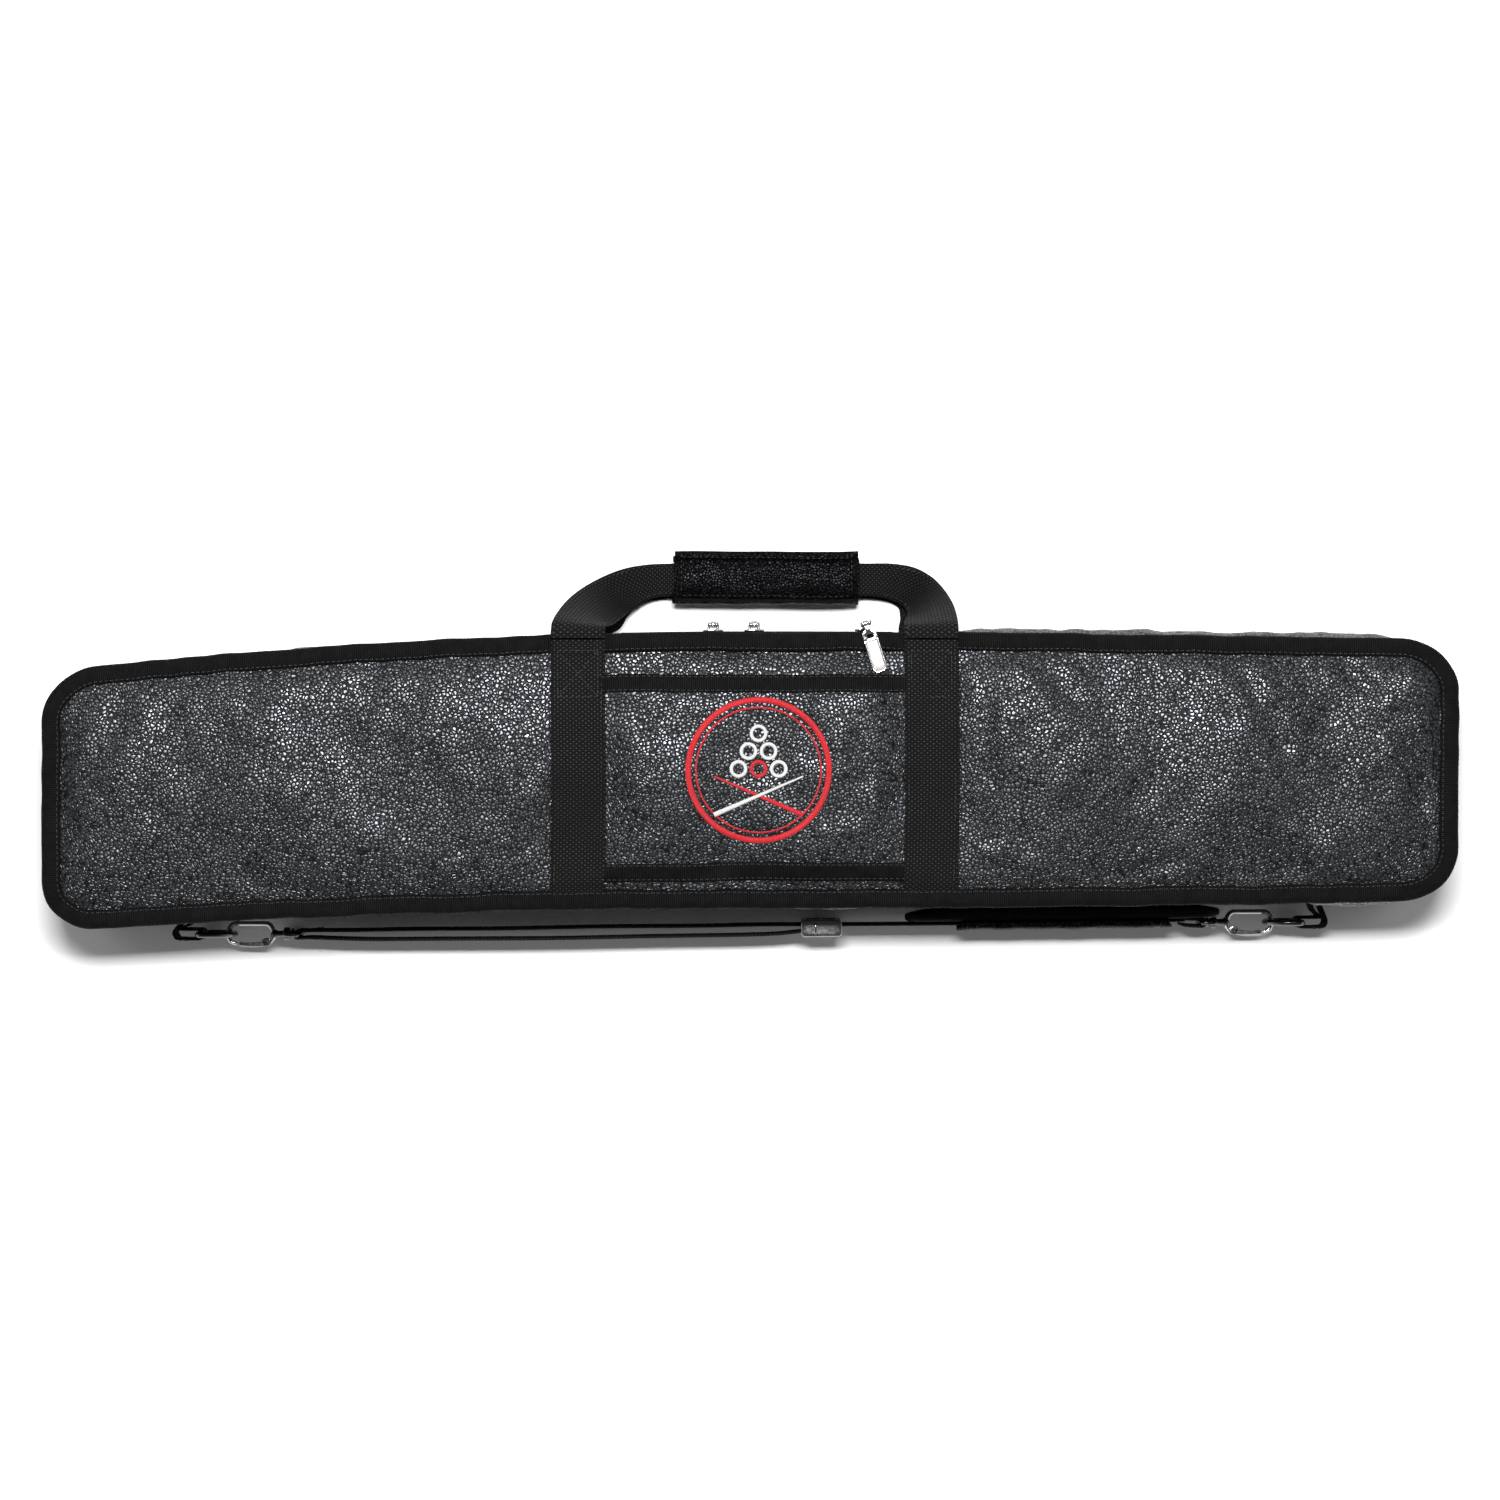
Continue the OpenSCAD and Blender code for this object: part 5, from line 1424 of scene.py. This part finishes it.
def in_strap(p):
    """From the strap's own line (millimetres) to the row frame."""
    p = np.asarray(p, float)
    return np.stack([(p[..., 0] * math.cos(TURN) - p[..., 1] * math.sin(TURN)) * MM,
                     (-95.8 + p[..., 0] * math.sin(TURN) + p[..., 1] * math.cos(TURN)) * MM, p[..., 2] * MM], -1)


def strap_strip(xy, name, body, node, n=200, thick=1.5, zc=16.0, h=12.4, tilt=0.0):
    c2 = spline(xy, n)
    c3 = in_strap(np.column_stack([c2, zc + 0.25 * waves(c2[:, 0], 0 * c2[:, 0], 120.0, 131)]))
    half = np.tile(arr(0, 0, h * MM), (n, 1)) + arr(0, tilt * MM, 0)
    ob = strip_grid(Piece(), c3, half, thick * MM, 14).build(name, STRAP_WEB, body, "webbing", node)
    return ob, c3


eyeL = (-272.02 - 0.05, (END_Y["left"] * 1000 + 95.8) - (-272) * math.sin(TURN))
eyeR = (272.0, (END_Y["right"] * 1000 + 95.8) - 272 * math.sin(TURN))
lx, ly = eyeL
xs_w = [(-266, 2.1), (-258, 2.1), (-240, 1.9), (-200, 2.1), (-150, 1.7), (-90, 2.1), (-30, 1.8), (10, 2.1), (43, 1.6),
        (60, 1.5), (80, 1.4), (94, 1.3), (130, 1.2), (180, 1.2), (250, 1.4), (262, 1.8)]
strap_strip(xs_w, "strap_web_long", "back_shell", ["strap_web"], 260)
xs_r = [(-262, -2.2), (-250, -2.9), (-225, -3.8), (-180, -4.1), (-120, -4.6), (-60, -4.2), (-10, -4.1), (15, -3.6),
        (30, -2.4), (43, -2.1)]
ob, _ = strap_strip(xs_r, "strap_web_return", "back_shell", ["strap_return"], 160)
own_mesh(ob)
# the ends, looped round the swivel eyes
for tag, s, (ex_, ey_) in (("left", -1, eyeL), ("right", 1, eyeR)):
    r = 2.3
    a = np.linspace(-90, 90, 11)
    arc = [(ex_ + s * r * math.cos(math.radians(k)), ey_ + r * math.sin(math.radians(k))) for k in a]
    near = -2.4 if s < 0 else -1.0
    path = [(ex_ - s * 12, near), (ex_ - s * 6, ey_ - r * 0.9)] + arc + [(ex_ - s * 6, ey_ + r * 0.95), (ex_ - s * 13, 2.6)]
    ob, c3 = strap_strip(path, "strap_end_loop_" + tag, "back_shell", ["strap_keepers"] if s < 0 else [], 70)
    for zz in np.arange(6, 27, 5):
        q = in_strap(np.array([(ex_ - s * 12, near - 0.8, zz), (ex_ - s * 7, ey_ - r * 0.9 - 0.8, zz)]))
        stitches(q, (0, -1, 0), f"strap_end_stitches_{tag}_{int(zz)}", "back_shell", THREAD, "webbing")

# the adjuster: two bowed side plates joined by bars
out = Piece()
side_o = resample(rounded(24.4, 10.2, 2.2, 6, 43, -0.1), 56, True)[0]
for z0, z1 in ((1.5, 3.1), (28.9, 30.6)):
    q = np.array(side_o)
    plate(out, q, z0, z1, 0.5, None, in_strap)
for bx in (33.2, 43.0, 52.8):
    for by in (-4.2, 4.0):
        tube(out, in_strap(np.array([(bx, by, v) for v in np.linspace(2.4, 29.6, 12)], float)), 1.05 * MM, False, 14)
ball(out, in_strap(arr(39.5, -0.1, 30.7)), arr(1.2, 3.6, 0.7) * MM, 8, 18)
out.build("adjuster_frame", NICKEL, "strap_adjuster", "nickel", ["adjuster"])

# the shoulder pad
px = np.linspace(96, 281, 120)
depth = np.interp(px, [96, 103, 118, 140, 240, 258, 273, 281], [6.4, 7.8, 10.2, 10.9, 10.9, 10.4, 8.2, 6.4])
q = np.empty((120, 40, 3))
for k, v in enumerate(px):
    e = min(v - 96, 281 - v)
    hz = 16.2 * min(1, 0.62 + 0.38 * math.sqrt(max(0, 1 - (1 - min(e / 9, 1)) ** 2)))
    d0 = depth[k] + 0.25 * float(waves(np.array(v), np.array(0.0), 40.0, 141))
    loop = superloop((3.3 + d0) / 2, 17.6, (d0 - 3.3) / 2, hz, 40, 3.2)
    q[k, :, 0] = v
    q[k, :, 1:] = loop
    q[k, :, 1] += 0.25 * waves(loop[:, 1] * 1.0, v + 0 * loop[:, 1], 14.0, 142)
g = in_strap(q)
ob = Piece().grid(g, cv=True).cap(g[0]).cap(g[-1], flip=True).build(
    "pad_body", LEATHER, "shoulder_pad", "leather", ["pad_cushion"])

rim = resample(rounded(188.6, 34.0, 10.5, 10, 188.5, 17.6), 420, True)[0]
mid = np.interp(rim[:, 0], [94, 103, 118, 140, 240, 258, 273, 283], [5.3, 6.0, 7.0, 7.2, 7.2, 7.0, 6.4, 6.6])
wide = np.interp(rim[:, 0], [94, 103, 118, 140, 240, 258, 273, 283], [2.1, 2.7, 3.7, 4.0, 4.0, 3.8, 2.9, 2.1])
t = np.roll(rim, -1, 0) - np.roll(rim, 1, 0)
t /= np.linalg.norm(t, axis=1)[:, None]
inn = np.stack([-t[:, 1], t[:, 0]], 1)
sec = [(-1.0, 3.2), (-1.06, 2.0), (-1.0, 0.8), (-0.72, -0.1), (-0.3, -0.35), (0.3, -0.35), (0.72, -0.1), (1.0, 0.8),
       (1.06, 2.0), (1.0, 3.2)]
q = np.empty((420, len(sec), 3))
for j, (sy, si) in enumerate(sec):
    q[:, j, 0] = rim[:, 0] + inn[:, 0] * si
    q[:, j, 2] = rim[:, 1] + inn[:, 1] * si
    q[:, j, 1] = mid + wide * sy
Piece().grid(in_strap(q), cu=True, us=np.arange(421) * 0.001).build(
    "pad_edge_tape", RIBBED, "shoulder_pad", "binding_tape", ["pad_binding"])

sx_ = np.linspace(0, 1, 90)
q = np.empty((90, 48, 3))
for k, tv in enumerate(sx_):
    loop = superloop(1.0, 17.6, 3.9, 17.6, 48, 3.4)
    slant = (loop[:, 0] - 1.0) / 3.9
    zl = (loop[:, 1] - 17.6) / 17.6
    x0v = 127 + 1.8 * slant
    x1v = 252 - 1.8 * slant
    n1 = 0.35 * waves(tv * 125 + 0 * loop[:, 0], loop[:, 1], 30.0, 151)
    e = min(tv, 1 - tv) * 125
    dip = 0.9 * math.exp(-((e - 7.5) / 2.0) ** 2)
    q[k, :, 0] = x0v + (x1v - x0v) * tv
    q[k, :, 1] = 1.0 + (loop[:, 0] - 1.0) * (1 - 0.12 * dip) + n1 * 0.5
    q[k, :, 2] = 17.6 + (loop[:, 1] - 17.6) * (1 - 0.03 * dip) + n1 * 0.4 * np.abs(zl)
g = in_strap(q)
inn3 = q.copy()
inn3[..., 1] = 1.0 + (q[..., 1] - 1.0) * 0.62
inn3[..., 2] = 17.6 + (q[..., 2] - 17.6) * 0.94
gi = in_strap(inn3)
sl = Piece().grid(g, cv=True)
sl.grid(np.stack([gi[0], g[0]], 0), cv=True).grid(np.stack([g[-1], gi[-1]], 0), cv=True)
sl.grid(gi[:12], cv=True, flip=True).grid(gi[-12:], cv=True, flip=True)
sl.build("pad_sleeve_leather", LEATHER_FINE, "shoulder_pad", "leather", ["pad_sleeve"])
for at in (5, 11, -6, -12):
    k = int(at / 125 * 90) if at > 0 else 89 + int(at / 125 * 90)
    sel = [j for j in range(48) if q[k, j, 1] < 3.2]
    sel = sorted(sel, key=lambda j: math.atan2(q[k, j, 2] - 17.6, -(q[k, j, 1] - 4.0) * 4))
    line = g[k][sel]
    nn = np.column_stack([np.zeros(len(sel)), q[k][sel][:, 1] - 3.0, (q[k][sel][:, 2] - 17.6) * 0.3])
    nn /= np.linalg.norm(nn, axis=1)[:, None]
    stitches(line, nn, f"sleeve_stitches_{k}", "shoulder_pad", THREAD, "leather", pitch=0.003, length=0.002)

# ---------------------------------------------------------------- CAD pieces that stay, out of sight
for name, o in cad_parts.items():
    if name in ("base_board",):
        o.data.materials.clear()
        o.data.materials.append(PANEL_LINING)

# ---------------------------------------------------------------- floor, lights, camera
me = bpy.data.meshes.new("floor")
me.from_pydata([(-9, -9, 0), (9, -9, 0), (9, 9, 0), (-9, 9, 0)], [], [(0, 1, 2, 3)])
floor = bpy.data.objects.new("floor", me)
bpy.context.collection.objects.link(floor)
fl = Mat("floor_white", (0.9, 0.9, 0.9), 0.7)
fl.set("Roughness", fl.span(fl.noise(4.0), 0.0, 1.0, 0.68, 0.72))
me.materials.append(fl.m)
floor.location = (0, 0, CAD_LOW[2] - 0.0002)
floor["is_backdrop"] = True

world = bpy.data.worlds.new("studio")
bpy.context.scene.world = world
world.use_nodes = True
bg = world.node_tree.nodes["Background"]
wt = world.node_tree
direction = wt.nodes.new("ShaderNodeTexCoord").outputs["Generated"]
split = wt.nodes.new("ShaderNodeSeparateXYZ")
wt.links.new(direction, split.inputs[0])
sky = wt.nodes.new("ShaderNodeValToRGB")
wt.links.new(split.outputs[2], sky.inputs[0])
sky.color_ramp.elements[0].position = 0.1
sky.color_ramp.elements[0].color = (0.9, 0.9, 0.9, 1)
sky.color_ramp.elements[1].position = 0.8
sky.color_ramp.elements[1].color = (0.03, 0.032, 0.036, 1)
wt.links.new(sky.outputs[0], bg.inputs[0])
bg.inputs[1].default_value = 1.0


def light(name, at, look, size, power, shape=(1.0, 1.0)):
    data = bpy.data.lights.new(name, "AREA")
    data.shape = "RECTANGLE"
    data.size, data.size_y = size * shape[0], size * shape[1]
    data.energy = power
    ob = bpy.data.objects.new(name, data)
    bpy.context.collection.objects.link(ob)
    from mathutils import Vector
    ob.location = at
    ob.rotation_euler = (Vector(look) - Vector(at)).to_track_quat("-Z", "Y").to_euler()
    return ob


light("key", (0.0, 0.6, 2.2), (0, 0, 0.05), 1.0, 84, (0.8, 0.34))
light("top_left", (-1.5, 0.9, 1.5), (-0.2, 0, 0.05), 0.7, 3)
light("top_right", (1.5, 0.8, 1.5), (0.2, 0, 0.05), 0.7, 3)
light("low_fill", (0.0, -1.5, 1.5), (0, 0, 0.05), 0.8, 0.4)

cam_data = bpy.data.cameras.new("camera")
cam = bpy.data.objects.new("camera", cam_data)
bpy.context.collection.objects.link(cam)
cam.location = (0, 0.0118, 2.28)
cam.rotation_euler = (0, 0, 0)
cam_data.sensor_width = 36
cam_data.lens = 89.8
cam_data.clip_end = 50
bpy.context.scene.camera = cam
bpy.context.scene.view_settings.view_transform = "Standard"

low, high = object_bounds()
